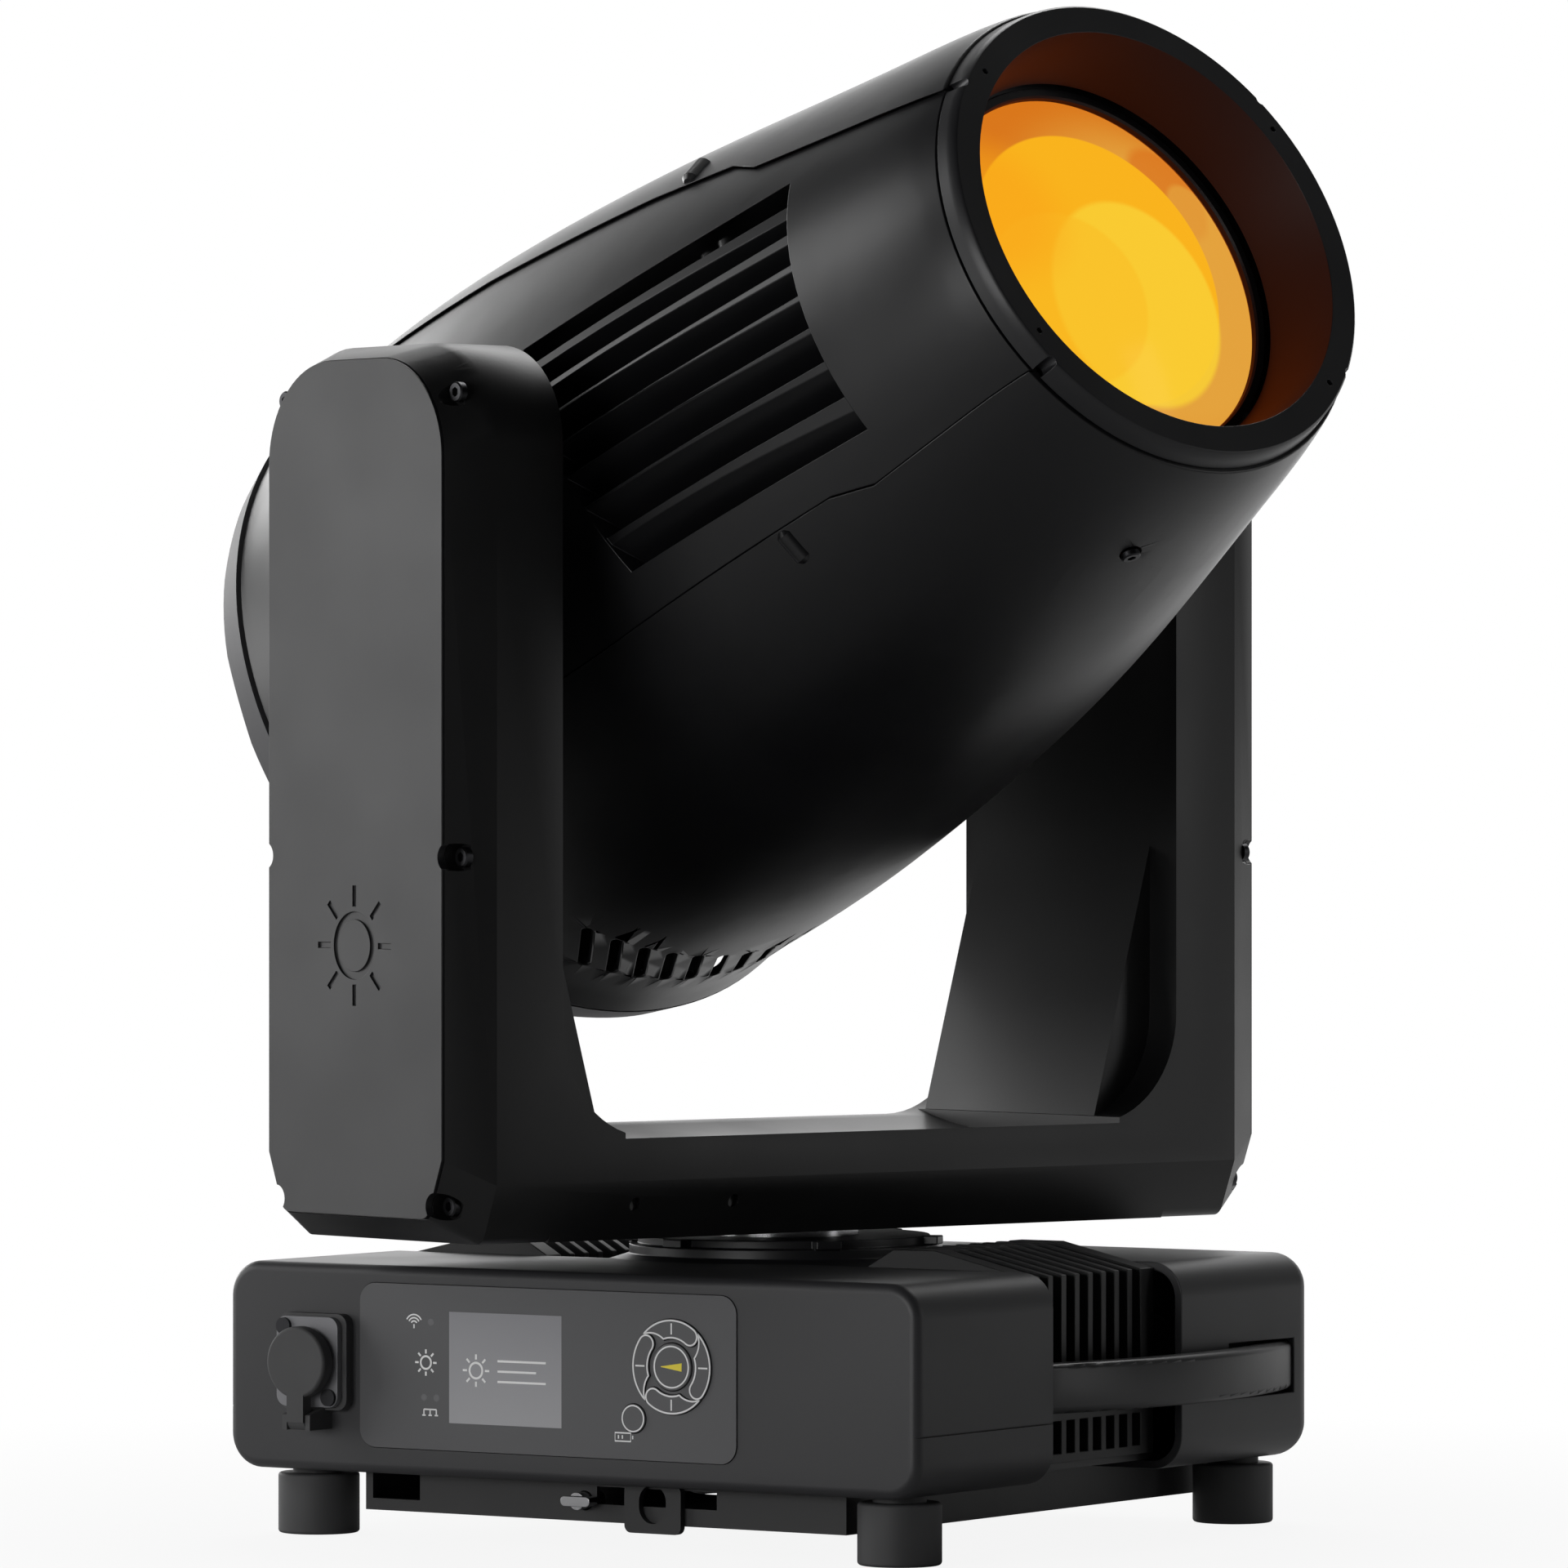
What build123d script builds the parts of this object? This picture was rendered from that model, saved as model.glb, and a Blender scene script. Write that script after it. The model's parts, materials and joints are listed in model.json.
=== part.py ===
"""Moving head light: a base, a yoke that pans on it and a head that tilts in the yoke.

Row frame: +X to the right of someone who faces the display, +Y to the back, +Z up.
The origin is the centre of the bracket bolt pattern, on the pan axis, at the underside plate.
The yoke is modelled facing -Y and the head along +Z, and both are turned to rest at the end.
"""
from build123d import *
from math import cos, radians, sin, sqrt
import os

# ---------------------------------------------------------------- driving dimensions, mm
PAN_REST = 73.6            # degrees, yoke's front from the base's front, anticlockwise from above
TILT_REST = 24.9           # degrees, beam above the horizontal

BASE_WIDTH = 284.0
BASE_FRONT = 132.7         # pan axis to the front face
BASE_BACK = 124.0          # pan axis to the rear face
BASE_BOTTOM = 13.7
BASE_TOP = 85.0
BASE_WALL = 3.0
BASE_CORNER = 12.0
BASE_EDGE = 3.5
MID_FRONT = 49.5           # the finned middle runs from here to MID_BACK
MID_BACK = 33.5
COVER_GAP = 0.5

HANDLE_BOTTOM = 36.5
HANDLE_TOP = 55.5
HANDLE_THICK = 9.0
HANDLE_REACH = 12.5        # how far a handle bows out beyond the base's side
HANDLE_NOTCH_FRONT = 62.0
HANDLE_NOTCH_BACK = 112.0
HANDLE_END = HANDLE_NOTCH_BACK - BASE_WALL

FOOT_RADIUS = 14.1
FOOT_HEIGHT = 20.9
FOOT_DROP = 9.5            # how far the feet reach below the underside plate
FOOT_SPACING_X = 240.0
FOOT_SPACING_Y = 214.0
FOOT_CENTRE_Y = -3.1
FOOT_NECK_RADIUS = 9.0

TRAY_LEFT = 94.0
TRAY_RIGHT = 104.0
TRAY_FRONT = 118.0
TRAY_BACK = 104.0
TRAY_SHEET = 2.0
BRACKET_SPACING = 106.0
BRACKET_HOLE_RADIUS = 4.5
TAB_X = 27.5
TAB_WIDTH = 23.0
TAB_DROP = 2.8
TAB_SLOT_WIDTH = 11.0

PANEL_LEFT = -85.4
PANEL_RIGHT = 70.1
PANEL_BOTTOM = 22.9
PANEL_TOP = 79.0
PANEL_THICK = 2.4
PANEL_CORNER = 6.5
PANEL_PROUD = 0.4
DISPLAY_X = -24.4
DISPLAY_Z = 51.2
DISPLAY_WIDTH = 46.7
DISPLAY_HEIGHT = 37.8
NAV_X = 44.3
NAV_Z = 54.6
NAV_RADIUS = 16.0
ENTER_RADIUS = 8.0
BATTERY_X = 28.7
BATTERY_Z = 36.8
BATTERY_RADIUS = 4.9
KEY_GAP = 0.25
KEY_PROUD = 0.6
KEY_DEPTH = 4.5
PETAL_GAP = 1.4            # enter key to the petals round it
PETAL_BLUNT = 36           # degrees from a petal's middle to the centre of its round end
PETAL_TIP = 48             # degrees from its middle to its sharp tip
PETAL_WAIST = 31
PETAL_HEEL = 20

SOCKET_X = -103.5
SOCKET_Z = 51.5
FLANGE_WIDTH = 26.0        # a standard D-size panel socket
FLANGE_HEIGHT = 31.0
FLANGE_SCREW_X = 19.0
FLANGE_SCREW_Z = 24.0
FLANGE_THICK = 2.5
FLANGE_SCREW_RADIUS = 1.6
GASKET_THICK = 4.0
SOCKET_BARREL = 11.8
SOCKET_BORE = 8.5
SOCKET_DEPTH = 18.0
CAP_RADIUS = 12.3
REAR_SOCKETS_X = (-84.0, -48.0, 48.0, 84.0)

PEDESTAL_RADIUS = 62.0
DECK_TOP = 79.0
DECK_THICK = 3.0
PAN_TUBE_RADIUS = 26.0
PAN_TUBE_BORE = 20.0
PAN_BEARING_RADIUS = 35.0
PAN_PULLEY_RADIUS = 32.0
RUNNING_GAP = 0.05

YOKE_BOTTOM = 95.5
SILL = 130.3
TILT_Z = 344.0
ARM_TOP = 397.5
ARM_OUTER = 183.2
ARM_INNER = 138.6
ARM_FACET_WIDTH = 16.6     # outer face back to where the front face begins
ARM_FACET_DEPTH = 8.8
YOKE_FRONT = 50.8
YOKE_BACK = 62.9
ARM_TOP_RADIUS = 34.0
INNER_CORNER = 38.0
ARM_WALL = 4.0
ARM_COVER = 3.0
GUSSET_TOP = 227.5
GUSSET_FOOT = 27.0
BEARING_PLATE = 8.0

HEAD_FRONT = 214.7         # tilt axis to the rim's front plane
RIM_RADIUS = 84.0
RIM_OPENING = 73.8
BEZEL_DEPTH = 8.0
DOME_SEAM = -150.0
DOME_RADIUS = 129.0
DOME_OFFSET = 5.0
HEAD_SWEEP = 217.0         # furthest point of the rear dome from the tilt axis
SWEEP_GAP = 3.0
HEAD_WALL = 3.0
SIDE_INSET = 1.2           # side panels lie this much below the top and bottom shells
SEAM_GAP = 0.5
LENS_RADIUS = 66.0
LENS_SUNK = 21.7           # rim's front plane to the top of the crown
LENS_FACE = HEAD_FRONT - LENS_SUNK
LENS_CROWN = 12.5
LENS_EDGE = 12.0
LENS_FIT = 0.2
FRONT_BULKHEAD = 86.0
BACK_BULKHEAD = 96.0
TRUNNION_RADIUS = 20.0
TRUNNION_BORE = 13.0
BEARING_RADIUS = 28.0
TILT_PULLEY_RADIUS = 29.0
PINION_RADIUS = 8.0
BELT_THICK = 1.6
BELT_WIDTH = 9.0
MOTION_GAP = 0.4

# radius and height of the head's centre at each distance along the beam from the tilt axis
HEAD_SECTIONS = (
    (DOME_SEAM, DOME_RADIUS, DOME_OFFSET),
    (-100.0, 129.0, 4.5),
    (-50.0, 128.0, 2.8),
    (0.0, 124.0, 1.0),
    (60.0, 116.5, -1.0),
    (120.0, 105.5, -1.5),
    (170.0, 95.5, -0.8),
    (HEAD_FRONT, RIM_RADIUS, 0.0),
)

os.makedirs("parts", exist_ok=True)

BASE_POSE = Location((0, 0, 0))
YOKE_POSE = Location((0, 0, 0), (0, 0, PAN_REST))
TILT = radians(TILT_REST)
HEAD_POSE = YOKE_POSE * Plane(
    origin=(0, 0, TILT_Z), x_dir=(1, 0, 0), z_dir=(0, -cos(TILT), sin(TILT))
).location


def write(piece, label, pose=BASE_POSE):
    """Place a finished piece, label it and write its STEP file."""
    piece.part.move(pose)
    piece.part.label = label
    export_step(piece.part, f"parts/{label}.step")


def front_plane(depth):
    """Sketch plane parallel to the base's front face: local x is +X and local y is +Z."""
    return Plane(origin=(0, -depth, 0), x_dir=(1, 0, 0), z_dir=(0, -1, 0))


# ---------------------------------------------------------------- base: covers and chassis
def cover_solid(y_low, y_high, inset):
    """Rounded block of a base cover, between two planes across the base."""
    with BuildPart() as block:
        with BuildSketch(Plane.XZ.offset(-y_high)):
            with Locations((0, (BASE_BOTTOM + BASE_TOP) / 2)):
                RectangleRounded(
                    BASE_WIDTH - 2 * inset,
                    BASE_TOP - BASE_BOTTOM - 2 * inset,
                    BASE_CORNER - inset,
                )
        extrude(amount=y_high - y_low)
    return block.part


def front_cover():
    with BuildPart() as cover:
        add(cover_solid(-BASE_FRONT, -MID_FRONT, 0))
        face = cover.faces().sort_by(Axis.Y)[0]
        fillet(face.edges(), BASE_EDGE)
        add(cover_solid(-BASE_FRONT + BASE_WALL, -MID_FRONT + 1, BASE_WALL), mode=Mode.SUBTRACT)
        with BuildSketch(Plane.XY.offset(BASE_TOP - 2 * BASE_WALL)):
            Circle(PEDESTAL_RADIUS + COVER_GAP)
        extrude(amount=3 * BASE_WALL, mode=Mode.SUBTRACT)
        with BuildSketch(front_plane(BASE_FRONT + 1)):
            with Locations(panel_centre()):
                RectangleRounded(
                    PANEL_RIGHT - PANEL_LEFT + 2 * KEY_GAP,
                    PANEL_TOP - PANEL_BOTTOM + 2 * KEY_GAP,
                    PANEL_CORNER,
                )
        extrude(amount=-(PANEL_THICK - PANEL_PROUD + 1), mode=Mode.SUBTRACT)
        with BuildSketch(front_plane(BASE_FRONT + 1)):
            with Locations(panel_centre()):
                Rectangle(PANEL_RIGHT - PANEL_LEFT - 8, PANEL_TOP - PANEL_BOTTOM - 8)
        extrude(amount=-(2 * BASE_WALL), mode=Mode.SUBTRACT)
        with BuildSketch(front_plane(BASE_FRONT + 1)):
            with Locations((SOCKET_X, SOCKET_Z)):
                Circle(SOCKET_BARREL + COVER_GAP)
            for x, z in flange_screws():
                with Locations((SOCKET_X + x, SOCKET_Z + z)):
                    Circle(FLANGE_SCREW_RADIUS)
        extrude(amount=-(2 * BASE_WALL), mode=Mode.SUBTRACT)
        for side in (-1, 1):
            with BuildSketch(front_plane(BASE_FRONT + 1)):
                with Locations((side * (BASE_WIDTH / 2), BASE_BOTTOM + 21)):
                    Rectangle(2 * 1.2, 0.6)
            extrude(amount=-(BASE_FRONT - MID_FRONT + 2), mode=Mode.SUBTRACT)
    write(cover, "front_cover")


def rear_cover():
    with BuildPart() as cover:
        add(cover_solid(MID_BACK, BASE_BACK, 0))
        face = cover.faces().sort_by(Axis.Y)[-1]
        fillet(face.edges(), BASE_CORNER - 1)
        add(cover_solid(MID_BACK - 1, BASE_BACK - BASE_WALL - 4, BASE_WALL), mode=Mode.SUBTRACT)
        with BuildSketch(Plane.XY.offset(BASE_TOP - 2 * BASE_WALL)):
            Circle(PEDESTAL_RADIUS + COVER_GAP)
        extrude(amount=3 * BASE_WALL, mode=Mode.SUBTRACT)
        for side in (-1, 1):
            with BuildSketch(Plane.XZ.offset(-HANDLE_NOTCH_BACK)):
                with Locations((side * BASE_WIDTH / 2, (HANDLE_BOTTOM + HANDLE_TOP) / 2)):
                    Rectangle(2 * (HANDLE_THICK + 5), HANDLE_TOP - HANDLE_BOTTOM + 4)
            extrude(amount=HANDLE_NOTCH_BACK - HANDLE_NOTCH_FRONT)
        for side in (-1, 1):
            with BuildSketch(Plane.XZ.offset(-HANDLE_NOTCH_BACK + BASE_WALL)):
                with Locations((side * (BASE_WIDTH / 2 + 2), (HANDLE_BOTTOM + HANDLE_TOP) / 2)):
                    Rectangle(2 * (HANDLE_THICK + 4), HANDLE_TOP - HANDLE_BOTTOM)
            extrude(amount=HANDLE_NOTCH_BACK - HANDLE_NOTCH_FRONT - 2 * BASE_WALL, mode=Mode.SUBTRACT)
        for side in (-1, 1):
            with BuildSketch(Plane.XZ.offset(-HANDLE_NOTCH_BACK - 1)):
                with Locations((side * (BASE_WIDTH / 2 + 20), (HANDLE_BOTTOM + HANDLE_TOP) / 2)):
                    Rectangle(40, HANDLE_TOP - HANDLE_BOTTOM + 20)
            extrude(amount=HANDLE_NOTCH_BACK - HANDLE_NOTCH_FRONT + 2, mode=Mode.SUBTRACT)
        with BuildSketch(Plane.XZ.offset(-BASE_BACK - 1)):
            for x in REAR_SOCKETS_X:
                with Locations((x, SOCKET_Z)):
                    Circle(SOCKET_BARREL + COVER_GAP)
        extrude(amount=4 * BASE_WALL, mode=Mode.SUBTRACT)
    write(cover, "rear_cover")


def panel_centre():
    return ((PANEL_LEFT + PANEL_RIGHT) / 2, (PANEL_BOTTOM + PANEL_TOP) / 2)


def carry_handles():
    """Two bowed bars, from the front cover's rear edge into the notches of the rear cover."""
    with BuildPart() as handles:
        for side in (-1, 1):
            with BuildSketch(Plane.XY.offset(HANDLE_BOTTOM + 1)):
                with BuildLine():
                    outer = ThreePointArc(
                        (side * (BASE_WIDTH / 2 - 1), -MID_FRONT + COVER_GAP),
                        (side * (BASE_WIDTH / 2 + HANDLE_REACH), (HANDLE_END - MID_FRONT) / 2),
                        (side * (BASE_WIDTH / 2 - 1), HANDLE_END),
                    )
                    inner = ThreePointArc(
                        (side * (BASE_WIDTH / 2 - 1 - HANDLE_THICK), -MID_FRONT + COVER_GAP),
                        (side * (BASE_WIDTH / 2 + HANDLE_REACH - HANDLE_THICK), (HANDLE_END - MID_FRONT) / 2),
                        (side * (BASE_WIDTH / 2 - 1 - HANDLE_THICK), HANDLE_END),
                    )
                    Line(outer @ 0, inner @ 0)
                    Line(outer @ 1, inner @ 1)
                make_face()
            extrude(amount=HANDLE_TOP - HANDLE_BOTTOM - 2)
        rims = handles.faces().filter_by(Axis.Z).edges().filter_by(GeomType.CIRCLE)
        fillet(rims, 2.4)
    write(handles, "carry_handles")


CHASSIS_HALF = 66.0
CHASSIS_SHEET = 2.5


def chassis():
    """Steel tunnel: floor, two walls and the deck that carries the pan pedestal."""
    floor_z = BASE_BOTTOM + BASE_WALL + 0.3
    with BuildPart() as tunnel:
        with BuildSketch(Plane.XY.offset(floor_z)):
            with Locations((0, (BASE_BACK - BASE_FRONT) / 2)):
                Rectangle(BASE_WIDTH - 28, BASE_FRONT + BASE_BACK - 30)
        extrude(amount=CHASSIS_SHEET)
        with BuildSketch(Plane.XY.offset(floor_z)):
            for side in (-1, 1):
                with Locations((side * (CHASSIS_HALF - CHASSIS_SHEET / 2), 0)):
                    Rectangle(CHASSIS_SHEET, 2 * CHASSIS_HALF)
        extrude(amount=DECK_TOP - floor_z)
        with BuildSketch(Plane.XY.offset(DECK_TOP)):
            Rectangle(2 * CHASSIS_HALF, 2 * CHASSIS_HALF)
            Circle(PAN_TUBE_RADIUS + COVER_GAP, mode=Mode.SUBTRACT)
        extrude(amount=-DECK_THICK)
    write(tunnel, "chassis")


FIN_PITCH = 8.5
FIN_GROOVE = 5.2
SINK_INSET = 11.0          # base's side to the fins' outer edges
SINK_OUTER = BASE_WIDTH / 2 - SINK_INSET
SINK_SIDE = 13.0
SINK_WALL = SINK_OUTER - SINK_SIDE
SINK_FLOOR = 76.0
SINK_RIDGE = 91.3


def side_heatsink(side, label):
    """Finned casting that closes one side of the base between the two covers."""
    inner = CHASSIS_HALF + 0.6
    with BuildPart() as sink:
        with BuildSketch(Plane.XZ.offset(-MID_BACK + COVER_GAP)):
            with BuildLine():
                Polyline(
                    (side * inner, 60),
                    (side * inner, BASE_TOP),
                    (side * (inner + 11), SINK_RIDGE),
                    (side * (inner + 28), SINK_RIDGE),
                    (side * SINK_OUTER, BASE_TOP - 1.9),
                    (side * SINK_OUTER, BASE_BOTTOM + 0.5),
                    (side * SINK_WALL, BASE_BOTTOM + 0.5),
                    (side * SINK_WALL, SINK_FLOOR - 6),
                    (side * (inner + 4), SINK_FLOOR - 6),
                    (side * (inner + 4), 60),
                    close=True,
                )
            make_face()
        extrude(amount=MID_FRONT + MID_BACK - 2 * COVER_GAP)
        with BuildSketch(Plane.XY.offset(BASE_BOTTOM)):
            with Locations((side * (BASE_WIDTH / 2 - 20), (MID_BACK - MID_FRONT) / 2)):
                Rectangle(20, MID_FRONT + MID_BACK + 4)
        extrude(amount=BASE_WALL + CHASSIS_SHEET + 0.4, mode=Mode.SUBTRACT)
        grooves = int((MID_FRONT + MID_BACK - 8) // FIN_PITCH)
        first = (MID_BACK - MID_FRONT) / 2 - FIN_PITCH * (grooves - 1) / 2
        spots = [(0, first + FIN_PITCH * i) for i in range(grooves)]
        with BuildSketch(Plane.XY.offset(SINK_RIDGE + 1)):
            with Locations([(side * (inner + SINK_OUTER + 2) / 2, y) for x, y in spots]):
                Rectangle(SINK_OUTER + 2 - inner, FIN_GROOVE)
        extrude(amount=-(SINK_RIDGE + 1 - SINK_FLOOR), mode=Mode.SUBTRACT)
        with BuildSketch(Plane.XY.offset(SINK_RIDGE)):
            with Locations([(side * (SINK_OUTER + 1 - 4.5), y) for x, y in spots]):
                Rectangle(9, FIN_GROOVE)
        extrude(amount=-(SINK_RIDGE - HANDLE_BOTTOM - 10), mode=Mode.SUBTRACT)
        with BuildSketch(Plane.XY.offset(BASE_BOTTOM + 20)):
            with Locations([(side * (SINK_OUTER + 1 - 4.5), y) for x, y in spots]):
                Rectangle(9, FIN_GROOVE)
        extrude(amount=-11, mode=Mode.SUBTRACT)
    write(sink, label)


def foot_spots():
    return [
        (sx * FOOT_SPACING_X / 2, FOOT_CENTRE_Y + sy * FOOT_SPACING_Y / 2)
        for sy in (-1, 1)
        for sx in (-1, 1)
    ]


def feet():
    """Four rubber feet, each with a short neck up to the base."""
    with BuildPart() as rubber:
        with BuildSketch(Plane.XY.offset(-FOOT_DROP)):
            with Locations(foot_spots()):
                Circle(FOOT_RADIUS)
        extrude(amount=FOOT_HEIGHT)
        fillet(rubber.edges().filter_by(GeomType.CIRCLE), 1.2)
        with BuildSketch(Plane.XY.offset(-FOOT_DROP + FOOT_HEIGHT)):
            with Locations(foot_spots()):
                Circle(FOOT_NECK_RADIUS)
        extrude(amount=BASE_BOTTOM + FOOT_DROP - FOOT_HEIGHT)
    write(rubber, "feet")


# ---------------------------------------------------------------- base: underside
LATCH_X = -2.0
LATCH_Z = 7.0
LATCH_SHAFT = 3.0


def underside_frame():
    """Folded tray under the base, with the bracket holes and the safety cable tab."""
    wall_top = BASE_BOTTOM
    centre_x = (TRAY_RIGHT - TRAY_LEFT) / 2
    centre_y = (TRAY_BACK - TRAY_FRONT) / 2
    width = TRAY_LEFT + TRAY_RIGHT
    depth = TRAY_FRONT + TRAY_BACK
    hole_spots = [(sx * BRACKET_SPACING / 2, sy * BRACKET_SPACING / 2) for sx in (-1, 1) for sy in (-1, 1)]
    with BuildPart() as tray:
        with BuildSketch():
            with Locations((centre_x, centre_y)):
                Rectangle(width, depth)
        extrude(amount=wall_top)
        with BuildSketch(Plane.XY.offset(TRAY_SHEET)):
            with Locations((centre_x, centre_y)):
                Rectangle(width - 2 * TRAY_SHEET, depth - 2 * TRAY_SHEET)
        extrude(amount=wall_top, mode=Mode.SUBTRACT)
        with BuildSketch(Plane.XY.offset(-1)):
            with Locations(hole_spots):
                Circle(BRACKET_HOLE_RADIUS)
            SlotOverall(70, 40)
        extrude(amount=TRAY_SHEET + 2, mode=Mode.SUBTRACT)
        with BuildSketch(front_plane(TRAY_FRONT + 1)):
            with Locations((-TRAY_LEFT + 13, wall_top / 2 + 1.5)):
                Rectangle(20, wall_top - 5)
            with Locations((TAB_X, 9)):
                Rectangle(TAB_WIDTH + 26, 6)
            with Locations((LATCH_X, LATCH_Z)):
                Circle(LATCH_SHAFT + MOTION_GAP)
        extrude(amount=-(TRAY_SHEET + 2), mode=Mode.SUBTRACT)
        with BuildSketch(front_plane(TRAY_FRONT)):
            with Locations((TAB_X, (wall_top - TAB_DROP) / 2)):
                RectangleRounded(TAB_WIDTH, wall_top + TAB_DROP, 2.6)
            with Locations((TAB_X, 7)):
                SlotOverall(13, TAB_SLOT_WIDTH, rotation=90, mode=Mode.SUBTRACT)
        extrude(amount=TRAY_SHEET + 0.5)
    write(tray, "underside_frame")


def bracket_latch():
    """Quarter-turn wing that locks the bracket from the front."""
    with BuildPart() as latch:
        with BuildSketch(front_plane(TRAY_FRONT - 8)):
            with Locations((LATCH_X, LATCH_Z)):
                Circle(LATCH_SHAFT)
        extrude(amount=13)
        with BuildSketch(front_plane(TRAY_FRONT + 1)):
            with Locations((LATCH_X, LATCH_Z)):
                SlotOverall(12, 3.4)
        extrude(amount=5)
    write(latch, "bracket_latch")


# ---------------------------------------------------------------- base: control panel
def key_sectors():
    """Angle in the panel at the middle of each navigation key."""
    return {"nav_right_key": 0, "nav_up_key": 90, "nav_left_key": 180, "nav_down_key": 270}


def polar(radius, angle):
    return (radius * cos(radians(angle)), radius * sin(radians(angle)))


def key_outline(angle, grow):
    """Swirling petal of one navigation key, grown by a gap for its hole in the panel."""
    inner = ENTER_RADIUS + PETAL_GAP
    middle = (NAV_RADIUS + inner) / 2
    round_end = (NAV_RADIUS - inner) / 2
    blunt = angle - PETAL_BLUNT
    centre = Vector(*polar(middle, blunt))
    with BuildSketch() as petal:
        with BuildLine():
            outer = CenterArc((0, 0), NAV_RADIUS, blunt, PETAL_BLUNT + PETAL_TIP)
            inside = CenterArc((0, 0), inner, blunt, PETAL_BLUNT + PETAL_HEEL)
            ThreePointArc(outer @ 0, centre + Vector(*polar(round_end, blunt - 90)), inside @ 0)
            ThreePointArc(inside @ 1, polar(middle - 0.3, angle + PETAL_WAIST), outer @ 1)
        make_face()
        if grow > 0:
            offset(amount=grow, kind=Kind.ARC)
    return petal.sketch


def control_panel():
    with BuildPart() as panel:
        with BuildSketch(front_plane(BASE_FRONT + PANEL_PROUD)):
            with Locations(panel_centre()):
                RectangleRounded(PANEL_RIGHT - PANEL_LEFT, PANEL_TOP - PANEL_BOTTOM, PANEL_CORNER - KEY_GAP)
        extrude(amount=-PANEL_THICK)
        with BuildSketch(front_plane(BASE_FRONT + PANEL_PROUD)):
            with Locations((DISPLAY_X, DISPLAY_Z)):
                Rectangle(DISPLAY_WIDTH, DISPLAY_HEIGHT)
            with Locations((NAV_X, NAV_Z)):
                for angle in key_sectors().values():
                    add(key_outline(angle, KEY_GAP))
                Circle(ENTER_RADIUS + KEY_GAP)
            with Locations((BATTERY_X, BATTERY_Z)):
                Circle(BATTERY_RADIUS + KEY_GAP)
            with Locations(STATUS_SPOTS):
                Circle(1.2)
        extrude(amount=-(PANEL_THICK + 1), mode=Mode.SUBTRACT)
    write(panel, "control_panel")


STATUS_SPOTS = ((-55.5, 66.3), (-58.3, 40.6), (-53.1, 40.6))


def status_lights():
    with BuildPart() as lights:
        with BuildSketch(front_plane(BASE_FRONT + PANEL_PROUD)):
            with Locations(STATUS_SPOTS):
                Circle(1.2)
        extrude(amount=-PANEL_THICK)
    write(lights, "status_lights")


def display_window():
    with BuildPart() as window:
        with BuildSketch(front_plane(BASE_FRONT + PANEL_PROUD)):
            with Locations((DISPLAY_X, DISPLAY_Z)):
                Rectangle(DISPLAY_WIDTH, DISPLAY_HEIGHT)
        extrude(amount=-PANEL_THICK)
        with BuildSketch(front_plane(BASE_FRONT + PANEL_PROUD - PANEL_THICK)):
            with Locations((DISPLAY_X, DISPLAY_Z)):
                Rectangle(DISPLAY_WIDTH + 6, DISPLAY_HEIGHT + 6)
        extrude(amount=-1.6)
    write(window, "display_window")


def navigation_keys():
    for label, angle in key_sectors().items():
        with BuildPart() as key:
            with BuildSketch(front_plane(BASE_FRONT + PANEL_PROUD + KEY_PROUD)):
                with Locations((NAV_X, NAV_Z)):
                    add(key_outline(angle, 0))
            extrude(amount=-KEY_DEPTH)
        write(key, label)


def round_keys():
    for label, x, z, radius in (
        ("enter_key", NAV_X, NAV_Z, ENTER_RADIUS),
        ("battery_key", BATTERY_X, BATTERY_Z, BATTERY_RADIUS),
    ):
        with BuildPart() as key:
            with BuildSketch(front_plane(BASE_FRONT + PANEL_PROUD + KEY_PROUD)):
                with Locations((x, z)):
                    Circle(radius)
            extrude(amount=-KEY_DEPTH)
            fillet(key.edges().group_by(Axis.Y)[0], 0.4)
        write(key, label)


def main_board():
    """Printed board behind the panel, with its switches, relay and plugs."""
    board_y = BASE_FRONT - 13
    with BuildPart() as board:
        with BuildSketch(front_plane(board_y)):
            with Locations(panel_centre()):
                Rectangle(PANEL_RIGHT - PANEL_LEFT - 16, PANEL_TOP - PANEL_BOTTOM - 14)
        extrude(amount=-1.6)
        with BuildSketch(front_plane(board_y - 1.6)):
            with Locations((-40, 51)):
                Rectangle(30, 22)
            with Locations((10, 40), (10, 62)):
                Rectangle(18, 12)
        extrude(amount=-9)
    write(board, "main_board")


# ---------------------------------------------------------------- base: sockets
def flange_screws():
    return ((-FLANGE_SCREW_X / 2, FLANGE_SCREW_Z / 2), (FLANGE_SCREW_X / 2, -FLANGE_SCREW_Z / 2))


def front_socket():
    """Panel data socket with its plate in front of the gasket and its barrel in the cover."""
    plate_front = BASE_FRONT + GASKET_THICK + FLANGE_THICK
    with BuildPart() as socket:
        with BuildSketch(front_plane(plate_front)):
            with Locations((SOCKET_X, SOCKET_Z)):
                RectangleRounded(FLANGE_WIDTH, FLANGE_HEIGHT, 4)
        extrude(amount=-FLANGE_THICK)
        with BuildSketch(front_plane(plate_front + 2)):
            with Locations((SOCKET_X, SOCKET_Z)):
                Circle(SOCKET_BARREL - 1.2)
        extrude(amount=-(SOCKET_DEPTH + 4))
        with BuildSketch(front_plane(plate_front + 2)):
            with Locations((SOCKET_X, SOCKET_Z)):
                Circle(SOCKET_BORE)
        extrude(amount=-SOCKET_DEPTH, mode=Mode.SUBTRACT)
        with BuildSketch(front_plane(plate_front + 1)):
            for x, z in flange_screws():
                with Locations((SOCKET_X + x, SOCKET_Z + z)):
                    Circle(FLANGE_SCREW_RADIUS)
        extrude(amount=-(FLANGE_THICK + 2), mode=Mode.SUBTRACT)
    write(socket, "front_socket")


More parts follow.
